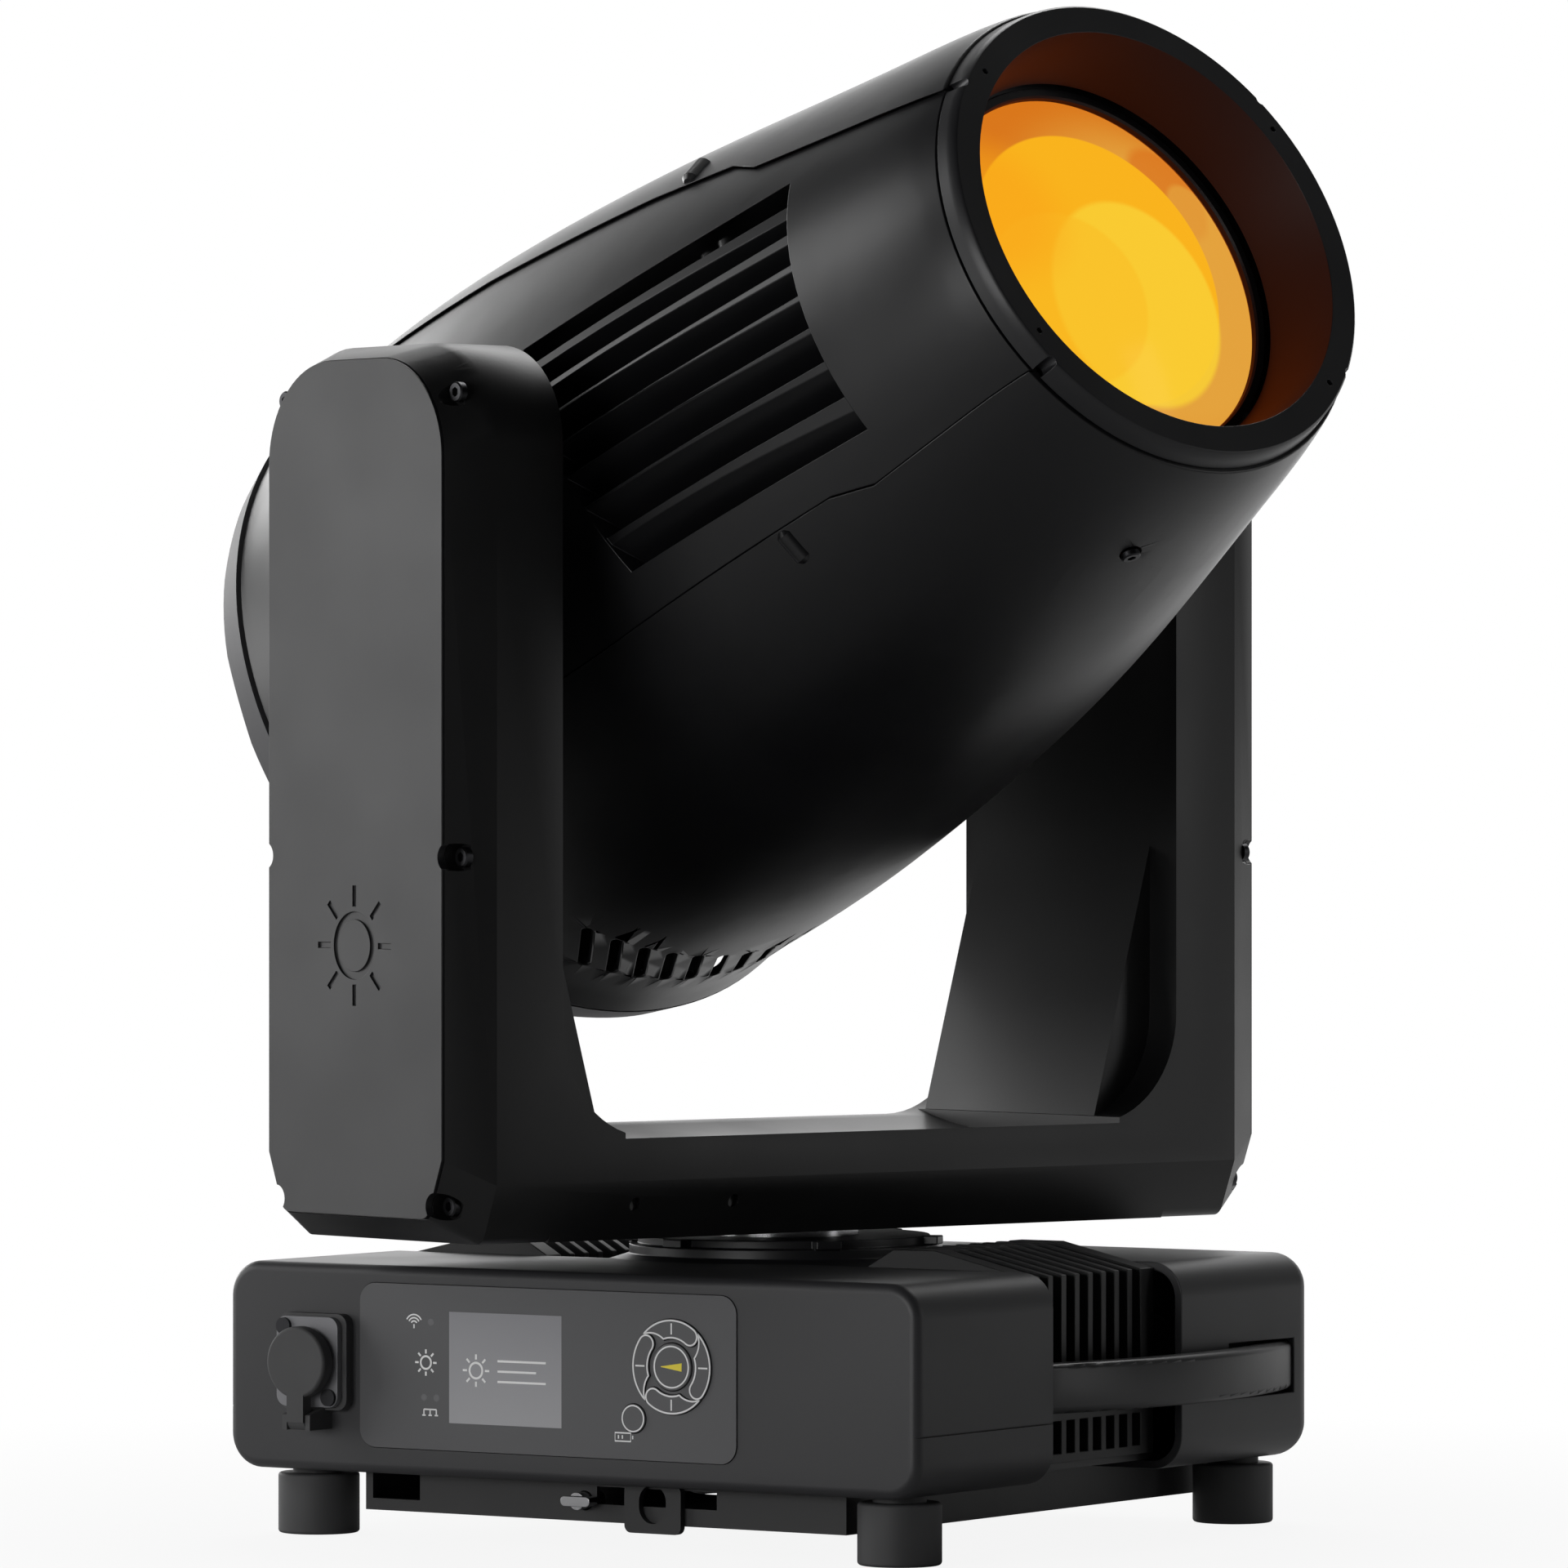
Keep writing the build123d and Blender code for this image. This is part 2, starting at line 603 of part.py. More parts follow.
HINGE_PIN = 1.2
HINGE_BARREL = 2.6
HINGE_Z = SOCKET_Z - 20.5
HINGE_Y = BASE_FRONT + GASKET_THICK + FLANGE_THICK + 3.6
EAR_THICK = 2.0
TETHER_WIDTH = 7.0


def socket_gasket():
    """Rubber gasket behind the socket's plate, with the ears and pin that hold the cap."""
    with BuildPart() as gasket:
        with BuildSketch(front_plane(BASE_FRONT)):
            with Locations((SOCKET_X + 0.5, SOCKET_Z)):
                RectangleRounded(FLANGE_WIDTH + 3, FLANGE_HEIGHT + 2, 4)
            with Locations((SOCKET_X, SOCKET_Z)):
                Circle(SOCKET_BARREL, mode=Mode.SUBTRACT)
        extrude(amount=GASKET_THICK)
        ear_x = TETHER_WIDTH / 2 + MOTION_GAP
        for side in (-1, 1):
            start = SOCKET_X + side * ear_x
            with BuildSketch(Plane.YZ.offset(min(start, start + side * EAR_THICK))):
                with BuildLine():
                    Polyline(
                        (-BASE_FRONT, HINGE_Z - 2.6),
                        (-BASE_FRONT, SOCKET_Z - FLANGE_HEIGHT / 2),
                        (-BASE_FRONT - GASKET_THICK, SOCKET_Z - FLANGE_HEIGHT / 2),
                        (-HINGE_Y - 2.6, HINGE_Z + 2.6),
                        (-HINGE_Y - 2.6, HINGE_Z - 2.6),
                        close=True,
                    )
                make_face()
            extrude(amount=EAR_THICK)
        with BuildSketch(Plane.YZ.offset(SOCKET_X - ear_x - EAR_THICK / 2)):
            with Locations((-HINGE_Y, HINGE_Z)):
                Circle(HINGE_PIN)
        extrude(amount=2 * ear_x + EAR_THICK)
        with BuildSketch(front_plane(BASE_FRONT - 0.5)):
            for x, z in flange_screws():
                with Locations((SOCKET_X + x, SOCKET_Z + z)):
                    Circle(FLANGE_SCREW_RADIUS)
        extrude(amount=GASKET_THICK + 2, mode=Mode.SUBTRACT)
    write(gasket, "socket_gasket")


def socket_cap():
    """Round rubber cap on a short tether that turns on the gasket's pin."""
    cap_back = BASE_FRONT + GASKET_THICK + FLANGE_THICK + 2 + MOTION_GAP
    cap_thick = 4.5
    with BuildPart() as cap:
        with BuildSketch(front_plane(cap_back)):
            with Locations((SOCKET_X, SOCKET_Z)):
                Circle(CAP_RADIUS)
            with Locations((SOCKET_X, (SOCKET_Z + HINGE_Z) / 2)):
                Rectangle(TETHER_WIDTH, SOCKET_Z - HINGE_Z)
        extrude(amount=cap_thick)
        fillet(cap.faces().sort_by(Axis.Y)[0].edges().filter_by(GeomType.CIRCLE), 1.2)
        with BuildSketch(Plane.YZ.offset(SOCKET_X - TETHER_WIDTH / 2)):
            with Locations((-HINGE_Y, HINGE_Z)):
                Circle(HINGE_BARREL)
        extrude(amount=TETHER_WIDTH)
        with BuildSketch(Plane.YZ.offset(SOCKET_X - TETHER_WIDTH)):
            with Locations((-HINGE_Y, HINGE_Z)):
                Circle(HINGE_PIN + RUNNING_GAP)
        extrude(amount=2 * TETHER_WIDTH, mode=Mode.SUBTRACT)
    write(cap, "socket_cap")


def rear_sockets():
    """Power in, power out and two data sockets on the rear face."""
    with BuildPart() as sockets:
        with BuildSketch(Plane.XZ.offset(-BASE_BACK)):
            with Locations([(x, SOCKET_Z) for x in REAR_SOCKETS_X]):
                RectangleRounded(FLANGE_WIDTH, FLANGE_HEIGHT, 4)
        extrude(amount=-FLANGE_THICK)
        with BuildSketch(Plane.XZ.offset(-BASE_BACK - FLANGE_THICK)):
            with Locations([(x, SOCKET_Z) for x in REAR_SOCKETS_X]):
                Circle(SOCKET_BARREL)
        extrude(amount=SOCKET_DEPTH + 4)
        with BuildSketch(Plane.XZ.offset(-BASE_BACK - FLANGE_THICK - 1)):
            with Locations([(x, SOCKET_Z) for x in REAR_SOCKETS_X]):
                Circle(SOCKET_BORE)
        extrude(amount=SOCKET_DEPTH + 1, mode=Mode.SUBTRACT)
    write(sockets, "rear_sockets")


def power_supply():
    with BuildPart() as supply:
        with BuildSketch(Plane.XY.offset(BASE_BOTTOM + BASE_WALL + CHASSIS_SHEET + 1)):
            with Locations((0, 20)):
                Rectangle(2 * CHASSIS_HALF - 24, 78)
        extrude(amount=34)
        with BuildSketch(Plane.XZ.offset(18.5)):
            with Locations([(x, 36) for x in range(-40, 41, 10)]):
                SlotOverall(16, 4, rotation=90)
        extrude(amount=-4, mode=Mode.SUBTRACT)
    write(supply, "power_supply")


# ---------------------------------------------------------------- pan drive
PULLEY_BOTTOM = 106.5


def pan_pedestal():
    """Stepped ring between the base and the yoke."""
    with BuildPart() as ring:
        with BuildSketch(Plane.XZ):
            with BuildLine():
                Polyline(
                    (PAN_TUBE_RADIUS, DECK_TOP),
                    (PEDESTAL_RADIUS, DECK_TOP),
                    (PEDESTAL_RADIUS, BASE_TOP - 1.5),
                    (PEDESTAL_RADIUS - 8, BASE_TOP + 1.0),
                    (PEDESTAL_RADIUS - 8, BASE_TOP + 4.5),
                    (PEDESTAL_RADIUS - 11, BASE_TOP + 4.5),
                    (PEDESTAL_RADIUS - 11, BASE_TOP + 7.5),
                    (PAN_TUBE_RADIUS, BASE_TOP + 7.5),
                    close=True,
                )
            make_face()
        revolve(axis=Axis.Z)
        with BuildSketch(Plane.XY.offset(BASE_TOP + 4.5)):
            with PolarLocations(PEDESTAL_RADIUS - 10, 6, start_angle=20):
                Rectangle(8, 9)
        extrude(amount=3)
    write(ring, "pan_pedestal")


def pan_tube():
    """Hollow shaft fixed to the base, which carries the bearing and the fixed pulley."""
    tube_top = PULLEY_BOTTOM + BELT_WIDTH + 2
    with BuildPart() as tube:
        with BuildSketch(Plane.XY.offset(DECK_TOP - 12)):
            Circle(PAN_TUBE_RADIUS)
            Circle(PAN_TUBE_BORE, mode=Mode.SUBTRACT)
        extrude(amount=tube_top - DECK_TOP + 12)
    write(tube, "pan_tube")


def pan_pulley():
    with BuildPart() as pulley:
        with BuildSketch(Plane.XY.offset(PULLEY_BOTTOM)):
            Circle(PAN_PULLEY_RADIUS)
            Circle(PAN_TUBE_RADIUS, mode=Mode.SUBTRACT)
        extrude(amount=BELT_WIDTH)
    write(pulley, "pan_pulley")


PAN_MOTOR_X = 118.0


def belt_loop(plane, centre_a, radius_a, centre_b, radius_b, width):
    """Flat belt round two pulleys, as the ring between two hulls of circles."""
    with BuildPart() as belt:
        with BuildSketch(plane):
            with BuildSketch(mode=Mode.PRIVATE) as outer:
                with Locations(centre_a):
                    Circle(radius_a + MOTION_GAP + BELT_THICK)
                with Locations(centre_b):
                    Circle(radius_b + MOTION_GAP + BELT_THICK)
                make_hull()
            with BuildSketch(mode=Mode.PRIVATE) as inner:
                with Locations(centre_a):
                    Circle(radius_a + MOTION_GAP)
                with Locations(centre_b):
                    Circle(radius_b + MOTION_GAP)
                make_hull()
            add(outer.sketch)
            add(inner.sketch, mode=Mode.SUBTRACT)
        extrude(amount=width)
    return belt


def pan_belt():
    plane = Plane.XY.offset(PULLEY_BOTTOM + 0.5)
    belt = belt_loop(plane, (0, 0), PAN_PULLEY_RADIUS, (PAN_MOTOR_X, 0), PINION_RADIUS, BELT_WIDTH - 1)
    write(belt, "pan_belt", YOKE_POSE)


def pan_motor_pulley():
    with BuildPart() as pinion:
        with BuildSketch(Plane.XY.offset(PULLEY_BOTTOM)):
            with Locations((PAN_MOTOR_X, 0)):
                Circle(PINION_RADIUS)
                RectangleRounded(5, 5, 0.5, mode=Mode.SUBTRACT)
        extrude(amount=BELT_WIDTH)
    write(pinion, "pan_motor_pulley", YOKE_POSE)


# ---------------------------------------------------------------- yoke
def arm_outline(shrink):
    """Side view of an arm: straight flanks, a round top and a chamfered foot."""
    front = -YOKE_FRONT + shrink
    back = YOKE_BACK - shrink
    foot = YOKE_BOTTOM + shrink
    top = ARM_TOP - 0.6 * shrink
    with BuildSketch() as outline:
        with BuildLine():
            Polyline(
                (front, foot + 20),
                (front + 8, foot),
                (back - 8, foot),
                (back, foot + 20),
                (back, top),
                (front, top),
                close=True,
            )
        make_face()
        fillet(outline.vertices().group_by(Axis.Y)[-1], ARM_TOP_RADIUS)
        fillet(outline.vertices().group_by(Axis.Y)[:-1][0], 5)
    return outline.sketch


def arm_block(side):
    """Arm with a straight inner part and a faceted outer part."""
    with BuildPart() as block:
        with BuildSketch(Plane.YZ.offset(side * ARM_INNER)):
            add(arm_outline(0))
        extrude(amount=side * (ARM_OUTER - ARM_FACET_WIDTH - ARM_INNER))
        with BuildSketch(Plane.YZ.offset(side * (ARM_OUTER - ARM_FACET_WIDTH))):
            add(arm_outline(0))
        with BuildSketch(Plane.YZ.offset(side * ARM_OUTER)):
            add(arm_outline(ARM_FACET_DEPTH))
        loft()
    return block.part


ARM_SCREWS = (
    (-41.5, 380.0),
    (53.5, 380.0),
    (-44.5, 225.0),
    (56.5, 225.0),
    (-38.0, 108.5),
    (50.0, 108.5),
)
SCREW_POCKET = 4.6
POCKET_DEPTH = 9.0


def yoke_frame():
    """Cast U with hollow arms, a dished crossbeam and a gusset inside each arm."""
    with BuildPart() as frame:
        for side in (-1, 1):
            add(arm_block(side))
        with BuildSketch(Plane.YZ.offset(-ARM_INNER)):
            with BuildLine():
                Polyline(
                    (-YOKE_FRONT, YOKE_BOTTOM + 20),
                    (-YOKE_FRONT + 8, YOKE_BOTTOM),
                    (YOKE_BACK - 8, YOKE_BOTTOM),
                    (YOKE_BACK, YOKE_BOTTOM + 20),
                    (YOKE_BACK, SILL),
                    (-YOKE_FRONT, SILL),
                    close=True,
                )
            make_face()
        extrude(amount=2 * ARM_INNER)
        corners = frame.edges().filter_by(Axis.Y).filter_by(
            lambda e: abs(abs(e.center().X) - ARM_INNER) < 0.1 and abs(e.center().Z - SILL) < 0.1
        )
        fillet(corners, INNER_CORNER)
        for side in (-1, 1):
            with BuildSketch(Plane.XZ.offset(-YOKE_BACK + 8)):
                with BuildLine():
                    Polyline(
                        (side * (ARM_INNER + 1), GUSSET_TOP),
                        (side * ARM_INNER, GUSSET_TOP),
                        (side * (ARM_INNER - GUSSET_FOOT), SILL),
                        (side * (ARM_INNER - GUSSET_FOOT), SILL - 2),
                        (side * (ARM_INNER + 1), SILL - 2),
                        close=True,
                    )
                make_face()
            extrude(amount=YOKE_FRONT + YOKE_BACK - 22)
        with BuildSketch(Plane.YZ.offset(-ARM_INNER + GUSSET_FOOT)):
            with Locations((0, TILT_Z)):
                Circle(HEAD_SWEEP + SWEEP_GAP)
        extrude(amount=2 * (ARM_INNER - GUSSET_FOOT), mode=Mode.SUBTRACT)
        for side in (-1, 1):
            pocket = ARM_OUTER - ARM_INNER - ARM_WALL
            with BuildSketch(Plane.YZ.offset(side * (ARM_INNER + ARM_WALL))):
                with Locations(((YOKE_BACK - YOKE_FRONT) / 2, (SILL + ARM_TOP) / 2 - 12)):
                    RectangleRounded(
                        YOKE_FRONT + YOKE_BACK - 2 * (ARM_FACET_DEPTH + ARM_WALL + 5),
                        ARM_TOP - SILL + 10,
                        ARM_TOP_RADIUS - 8,
                    )
            extrude(amount=side * (pocket + 1), mode=Mode.SUBTRACT)
            with BuildSketch(Plane.YZ.offset(side * (ARM_OUTER - ARM_COVER))):
                add(arm_outline(ARM_FACET_DEPTH - 0.5))
            extrude(amount=side * (ARM_COVER + 1), mode=Mode.SUBTRACT)
            with BuildSketch(Plane.YZ.offset(side * (ARM_INNER - 1))):
                with Locations((0, TILT_Z)):
                    Circle(BEARING_RADIUS)
            extrude(amount=side * (ARM_WALL + 2), mode=Mode.SUBTRACT)
            with BuildSketch(Plane.YZ.offset(side * (ARM_OUTER - POCKET_DEPTH))):
                with Locations(ARM_SCREWS):
                    Circle(SCREW_POCKET)
            extrude(amount=side * (POCKET_DEPTH + 1), mode=Mode.SUBTRACT)
        with BuildSketch(Plane.XY.offset(YOKE_BOTTOM)):
            with Locations((0, (YOKE_BACK - YOKE_FRONT) / 2)):
                Rectangle(2 * (ARM_INNER - 4), YOKE_FRONT + YOKE_BACK - 26)
        extrude(amount=PULLEY_BOTTOM + BELT_WIDTH + 3 - YOKE_BOTTOM, mode=Mode.SUBTRACT)
        for x in (-105, -62):
            with BuildSketch(front_plane(YOKE_FRONT + 1)):
                with Locations((x, YOKE_BOTTOM + 12)):
                    Circle(2.2)
            extrude(amount=-6, mode=Mode.SUBTRACT)
    write(frame, "yoke_frame", YOKE_POSE)


def ray_mark(size):
    """Plain lamp symbol: a small ring with eight rays."""
    with BuildSketch() as mark:
        Circle(0.26 * size)
        Circle(0.20 * size, mode=Mode.SUBTRACT)
        with PolarLocations(0.38 * size, 8):
            Rectangle(0.16 * size, 0.045 * size)
    return mark.sketch


def arm_cover(side, label):
    """Flat outer cover of one arm, notched round the screw pockets."""
    with BuildPart() as cover:
        with BuildSketch(Plane.YZ.offset(side * (ARM_OUTER - ARM_COVER + 0.2))):
            add(arm_outline(ARM_FACET_DEPTH - 0.1))
        extrude(amount=side * (ARM_COVER - 0.2))
        with BuildSketch(Plane.YZ.offset(side * (ARM_OUTER - ARM_COVER - 1))):
            with Locations(ARM_SCREWS):
                Circle(SCREW_POCKET)
        extrude(amount=side * (ARM_COVER + 2), mode=Mode.SUBTRACT)
        with BuildSketch(Plane.YZ.offset(side * (ARM_OUTER - 0.8))):
            with Locations((6, 195)):
                add(ray_mark(44))
        extrude(amount=side * 2, mode=Mode.SUBTRACT)
    write(cover, label, YOKE_POSE)


def arm_screws():
    """Screws at the bottom of the arm's corner pockets."""
    with BuildPart() as screws:
        for side in (-1, 1):
            with BuildSketch(Plane.YZ.offset(side * (ARM_OUTER - POCKET_DEPTH))):
                with Locations(ARM_SCREWS):
                    Circle(3.2)
                    RegularPolygon(1.5, 6, mode=Mode.SUBTRACT)
            extrude(amount=side * 2.6)
    write(screws, "arm_screws", YOKE_POSE)


def bearing_plate():
    """Plate that closes the crossbeam from below and seats the pan bearing."""
    with BuildPart() as plate:
        with BuildSketch(Plane.XY.offset(YOKE_BOTTOM)):
            with Locations((0, (YOKE_BACK - YOKE_FRONT) / 2)):
                Rectangle(2 * (ARM_INNER - 4) - 0.6, YOKE_FRONT + YOKE_BACK - 26.6)
            Circle(PAN_BEARING_RADIUS, mode=Mode.SUBTRACT)
        extrude(amount=BEARING_PLATE)
    write(plate, "bearing_plate", YOKE_POSE)


def pan_bearing():
    with BuildPart() as bearing:
        with BuildSketch(Plane.XY.offset(YOKE_BOTTOM)):
            Circle(PAN_BEARING_RADIUS)
            Circle(PAN_TUBE_RADIUS + RUNNING_GAP, mode=Mode.SUBTRACT)
        extrude(amount=BEARING_PLATE)
    write(bearing, "pan_bearing", YOKE_POSE)


def pan_motor():
    """Flat stepper that stands on the bearing plate beside the fixed pulley."""
    with BuildPart() as motor:
        with BuildSketch(Plane.XY.offset(YOKE_BOTTOM + BEARING_PLATE)):
            with Locations((PAN_MOTOR_X, 0)):
                Rectangle(26, 42)
        extrude(amount=PULLEY_BOTTOM - YOKE_BOTTOM - BEARING_PLATE - 0.6)
        with BuildSketch(Plane.XY.offset(PULLEY_BOTTOM - 1)):
            with Locations((PAN_MOTOR_X, 0)):
                Circle(2)
        extrude(amount=BELT_WIDTH)
    write(motor, "pan_motor", YOKE_POSE)


TILT_MOTOR_Z = 236.0
BELT_X = 160.0


def tilt_motor():
    inner = ARM_INNER + ARM_WALL
    with BuildPart() as motor:
        with BuildSketch(Plane.YZ.offset(-inner)):
            with Locations((0, TILT_MOTOR_Z)):
                RectangleRounded(57, 57, 5)
        extrude(amount=-(BELT_X - inner - 0.6))
        with BuildSketch(Plane.YZ.offset(-BELT_X + 0.6)):
            with Locations((0, TILT_MOTOR_Z)):
                Circle(2)
        extrude(amount=-BELT_WIDTH)
    write(motor, "tilt_motor", YOKE_POSE)


def tilt_motor_pulley():
    with BuildPart() as pinion:
        with BuildSketch(Plane.YZ.offset(-BELT_X)):
            with Locations((0, TILT_MOTOR_Z)):
                Circle(PINION_RADIUS)
                RectangleRounded(5, 5, 0.5, mode=Mode.SUBTRACT)
        extrude(amount=-BELT_WIDTH)
    write(pinion, "tilt_motor_pulley", YOKE_POSE)


def tilt_belt():
    plane = Plane.YZ.offset(-BELT_X - BELT_WIDTH + 0.5)
    centre = (0, TILT_Z)
    motor = (0, TILT_MOTOR_Z)
    belt = belt_loop(plane, centre, TILT_PULLEY_RADIUS, motor, PINION_RADIUS, BELT_WIDTH - 1)
    write(belt, "tilt_belt", YOKE_POSE)


def tilt_bearings():
    with BuildPart() as bearings:
        for side in (-1, 1):
            with BuildSketch(Plane.YZ.offset(side * ARM_INNER)):
                with Locations((0, TILT_Z)):
                    Circle(BEARING_RADIUS)
                    Circle(TRUNNION_RADIUS + RUNNING_GAP, mode=Mode.SUBTRACT)
            extrude(amount=side * 9)
    write(bearings, "tilt_bearings", YOKE_POSE)


# ---------------------------------------------------------------- head: shells
def head_envelope(inset):
    """Smooth body of the head, made smaller all round by an inset."""
    with BuildPart() as body:
        for along, radius, height in HEAD_SECTIONS:
            with BuildSketch(Plane.XY.offset(along)):
                with Locations((0, height)):
                    Circle(radius - inset)
        loft()
    return body.part


UPPER_SEAM = (
    (52.5, HEAD_FRONT - BEZEL_DEPTH),
    (70.0, 118.0),
    (78.0, 104.0),
    (87.0, 63.0),
    (101.5, -27.0),
    (107.5, -100.0),
    (108.0, DOME_SEAM),
)
LOWER_SEAM = (
    (-60.0, DOME_SEAM),
    (-59.0, 9.0),
    (-55.5, 120.0),
    (-58.5, 136.0),
    (-53.0, 190.0),
    (-51.5, HEAD_FRONT - BEZEL_DEPTH),
)


def side_prism(side, inset):
    """Everything between the two seams on one side of the head."""
    with BuildPart() as prism:
        with BuildSketch(Plane.YZ.offset(side * 20)) as outline:
            with BuildLine():
                Polyline(*UPPER_SEAM, *LOWER_SEAM, close=True)
            make_face()
            if inset > 0:
                offset(amount=-inset, kind=Kind.INTERSECTION)
        extrude(amount=side * 130)
    return prism.part


def head_slab(low, high):
    """Block that spans the head between two distances along the beam."""
    with BuildPart() as slab:
        with BuildSketch(Plane.XY.offset(low)):
            Rectangle(300, 300)
        extrude(amount=high - low)
    return slab.part


VENT_ALONG = -112.0
VENT_COUNT = 9
SHELL_SCREW = (-9.0, 165.4)


def top_shell(outer, inner, cutters):
    with BuildPart() as shell:
        add(outer)
        add(inner, mode=Mode.SUBTRACT)
        for cutter in cutters:
            add(cutter, mode=Mode.SUBTRACT)
        add(head_slab(DOME_SEAM, HEAD_FRONT - BEZEL_DEPTH), mode=Mode.INTERSECT)
        split(bisect_by=Plane.XZ, keep=Keep.BOTTOM)
    write(shell, "top_shell", HEAD_POSE)


def bottom_shell(outer, inner, cutters):
    with BuildPart() as shell:
        add(outer)
        add(inner, mode=Mode.SUBTRACT)
        for cutter in cutters:
            add(cutter, mode=Mode.SUBTRACT)
        add(head_slab(DOME_SEAM, HEAD_FRONT - BEZEL_DEPTH), mode=Mode.INTERSECT)
        split(bisect_by=Plane.XZ, keep=Keep.TOP)
        below = Plane(origin=(0, -150, 0), x_dir=(1, 0, 0), z_dir=(0, 1, 0))
        with BuildSketch(below):
            for i in range(VENT_COUNT):
                with Locations(((i - (VENT_COUNT - 1) / 2) * 11.5, -VENT_ALONG)):
                    SlotOverall(26, 4, rotation=60)
        extrude(amount=100, mode=Mode.SUBTRACT)
        with BuildSketch(below):
            with Locations((SHELL_SCREW[0], -SHELL_SCREW[1])):
                Circle(3.6)
        extrude(amount=100, mode=Mode.SUBTRACT)
    write(shell, "bottom_shell", HEAD_POSE)


WINDOW = ((52.0, 16.0), (52.0, 140.0), (-43.0, 146.0), (-43.0, 38.0))
TRAY_INSET = 15.0
SLAT_COUNT = 7
SLAT_PITCH = 12.5
SLAT_TOP = 46.0
SLAT_TAPER = 8.3
VENT_BAND = (88.0, 109.0)


def window_prism(side, grow):
    with BuildPart() as prism:
        with BuildSketch(Plane.YZ.offset(side * 50)):
            with BuildLine():
                Polyline(*WINDOW, close=True)
            make_face()
            if grow > 0:
                offset(amount=grow, kind=Kind.INTERSECTION)
        extrude(amount=side * 100)
    return prism.part


def slats(side):
    """Seven clapboard slats that follow the taper of the head's flank."""
    lean = radians(SLAT_TAPER)
    with BuildPart() as blades:
        plane = Plane(
            origin=(side * 108.5, 0, 81), x_dir=(0, 1, 0), z_dir=(-side * sin(lean), 0, cos(lean))
        )
        depth_sign = 1 if plane.y_dir.X * side < 0 else -1
        for i in range(SLAT_COUNT):
            v = SLAT_TOP - SLAT_PITCH * i
            with BuildSketch(plane.offset(-75)):
                with BuildLine():
                    Polyline(
                        (v + 1.2, -depth_sign * 4),
                        (v - 6.0, depth_sign * 22),
                        (v - 17.5, depth_sign * 22),
                        close=True,
                    )
                make_face()
            extrude(amount=150)
    return blades.part


def side_panel(side, label, bodies):
    """Side shell with its louvre: a tray with an air slot, and slats across it."""
    with BuildPart() as shell:
        add(bodies["side_outer"])
        add(bodies["side_inner"], mode=Mode.SUBTRACT)
        add(side_prism(side, SEAM_GAP), mode=Mode.INTERSECT)
        add(head_slab(DOME_SEAM + SEAM_GAP, HEAD_FRONT - BEZEL_DEPTH - SEAM_GAP), mode=Mode.INTERSECT)
        add(window_prism(side, 0), mode=Mode.SUBTRACT)
        with BuildSketch(Plane.YZ.offset(side * 60)):
            Circle(TRUNNION_RADIUS + 4)
        extrude(amount=side * 100, mode=Mode.SUBTRACT)
    with BuildPart() as tray:
        add(bodies["side_outer"])
        add(bodies["tray_floor"], mode=Mode.SUBTRACT)
        add(window_prism(side, 2.5), mode=Mode.INTERSECT)
        with BuildPart(mode=Mode.PRIVATE) as hollow:
            add(window_prism(side, 0))
            add(bodies["tray_top"], mode=Mode.SUBTRACT)
        add(hollow.part, mode=Mode.SUBTRACT)
        with BuildSketch(Plane.YZ.offset(side * 50)):
            with Locations((4.5, (VENT_BAND[0] + VENT_BAND[1]) / 2)):
                Rectangle(84, VENT_BAND[1] - VENT_BAND[0])
        extrude(amount=side * 100, mode=Mode.SUBTRACT)
    with BuildPart() as blades:
        add(slats(side))
        add(window_prism(side, 0.5), mode=Mode.INTERSECT)
        add(bodies["slat_outer"], mode=Mode.INTERSECT)
        add(bodies["slat_inner"], mode=Mode.SUBTRACT)
    with BuildPart() as panel:
        add(shell.part)
        add(tray.part)
        add(blades.part)
    write(panel, label, HEAD_POSE)


DOME_FACETS = ((12, 0.0, -166.0, 133.0), (12, 15.0, -190.0, 112.0), (8, 0.0, -203.0, 84.0))


def dome_body(inset):
    """Rounded rear end, as deep as the sweep allows."""
    rear = sqrt(HEAD_SWEEP**2 - (60 + DOME_OFFSET) ** 2) - inset
    with BuildPart() as dome:
        with BuildSketch(Plane.XZ.offset(-DOME_OFFSET)):
            with BuildLine():
                Polyline(
                    (0, DOME_SEAM - SEAM_GAP),
                    (DOME_RADIUS - inset, DOME_SEAM - SEAM_GAP),
                    (DOME_RADIUS - 4 - inset, DOME_SEAM - 15),
                    (DOME_RADIUS - 20 - inset, DOME_SEAM - 33),
                    (84 - inset, DOME_SEAM - 47),
                    (60 - inset, -rear),
                    (0, -rear),
                    close=True,
                )
            make_face()
        revolve(axis=Axis((0, DOME_OFFSET, 0), (0, 0, 1)))
    return dome.part


def rear_dome():
    """Faceted rear cover, cut flat by a ring of planes, hollow inside."""
    with BuildPart() as dome:
        add(dome_body(0))
        for count, start, along, radius in DOME_FACETS:
            for i in range(count):
                angle = radians(start + 360 * i / count)
                normal = Vector(radius * cos(angle), radius * sin(angle), along).normalized()
                reach = (radius * radius + along * along) ** 0.5
                origin = normal * (reach - 6.5) + Vector(0, DOME_OFFSET, 0)
                split(bisect_by=Plane(origin=origin, z_dir=normal), keep=Keep.BOTTOM)
        add(dome_body(9), mode=Mode.SUBTRACT)
        with BuildSketch(Plane.XY.offset(DOME_SEAM - 20)):
            with Locations((0, DOME_OFFSET)):
                Circle(DOME_RADIUS - 9)
        extrude(amount=40, mode=Mode.SUBTRACT)
    write(dome, "rear_dome", HEAD_POSE)


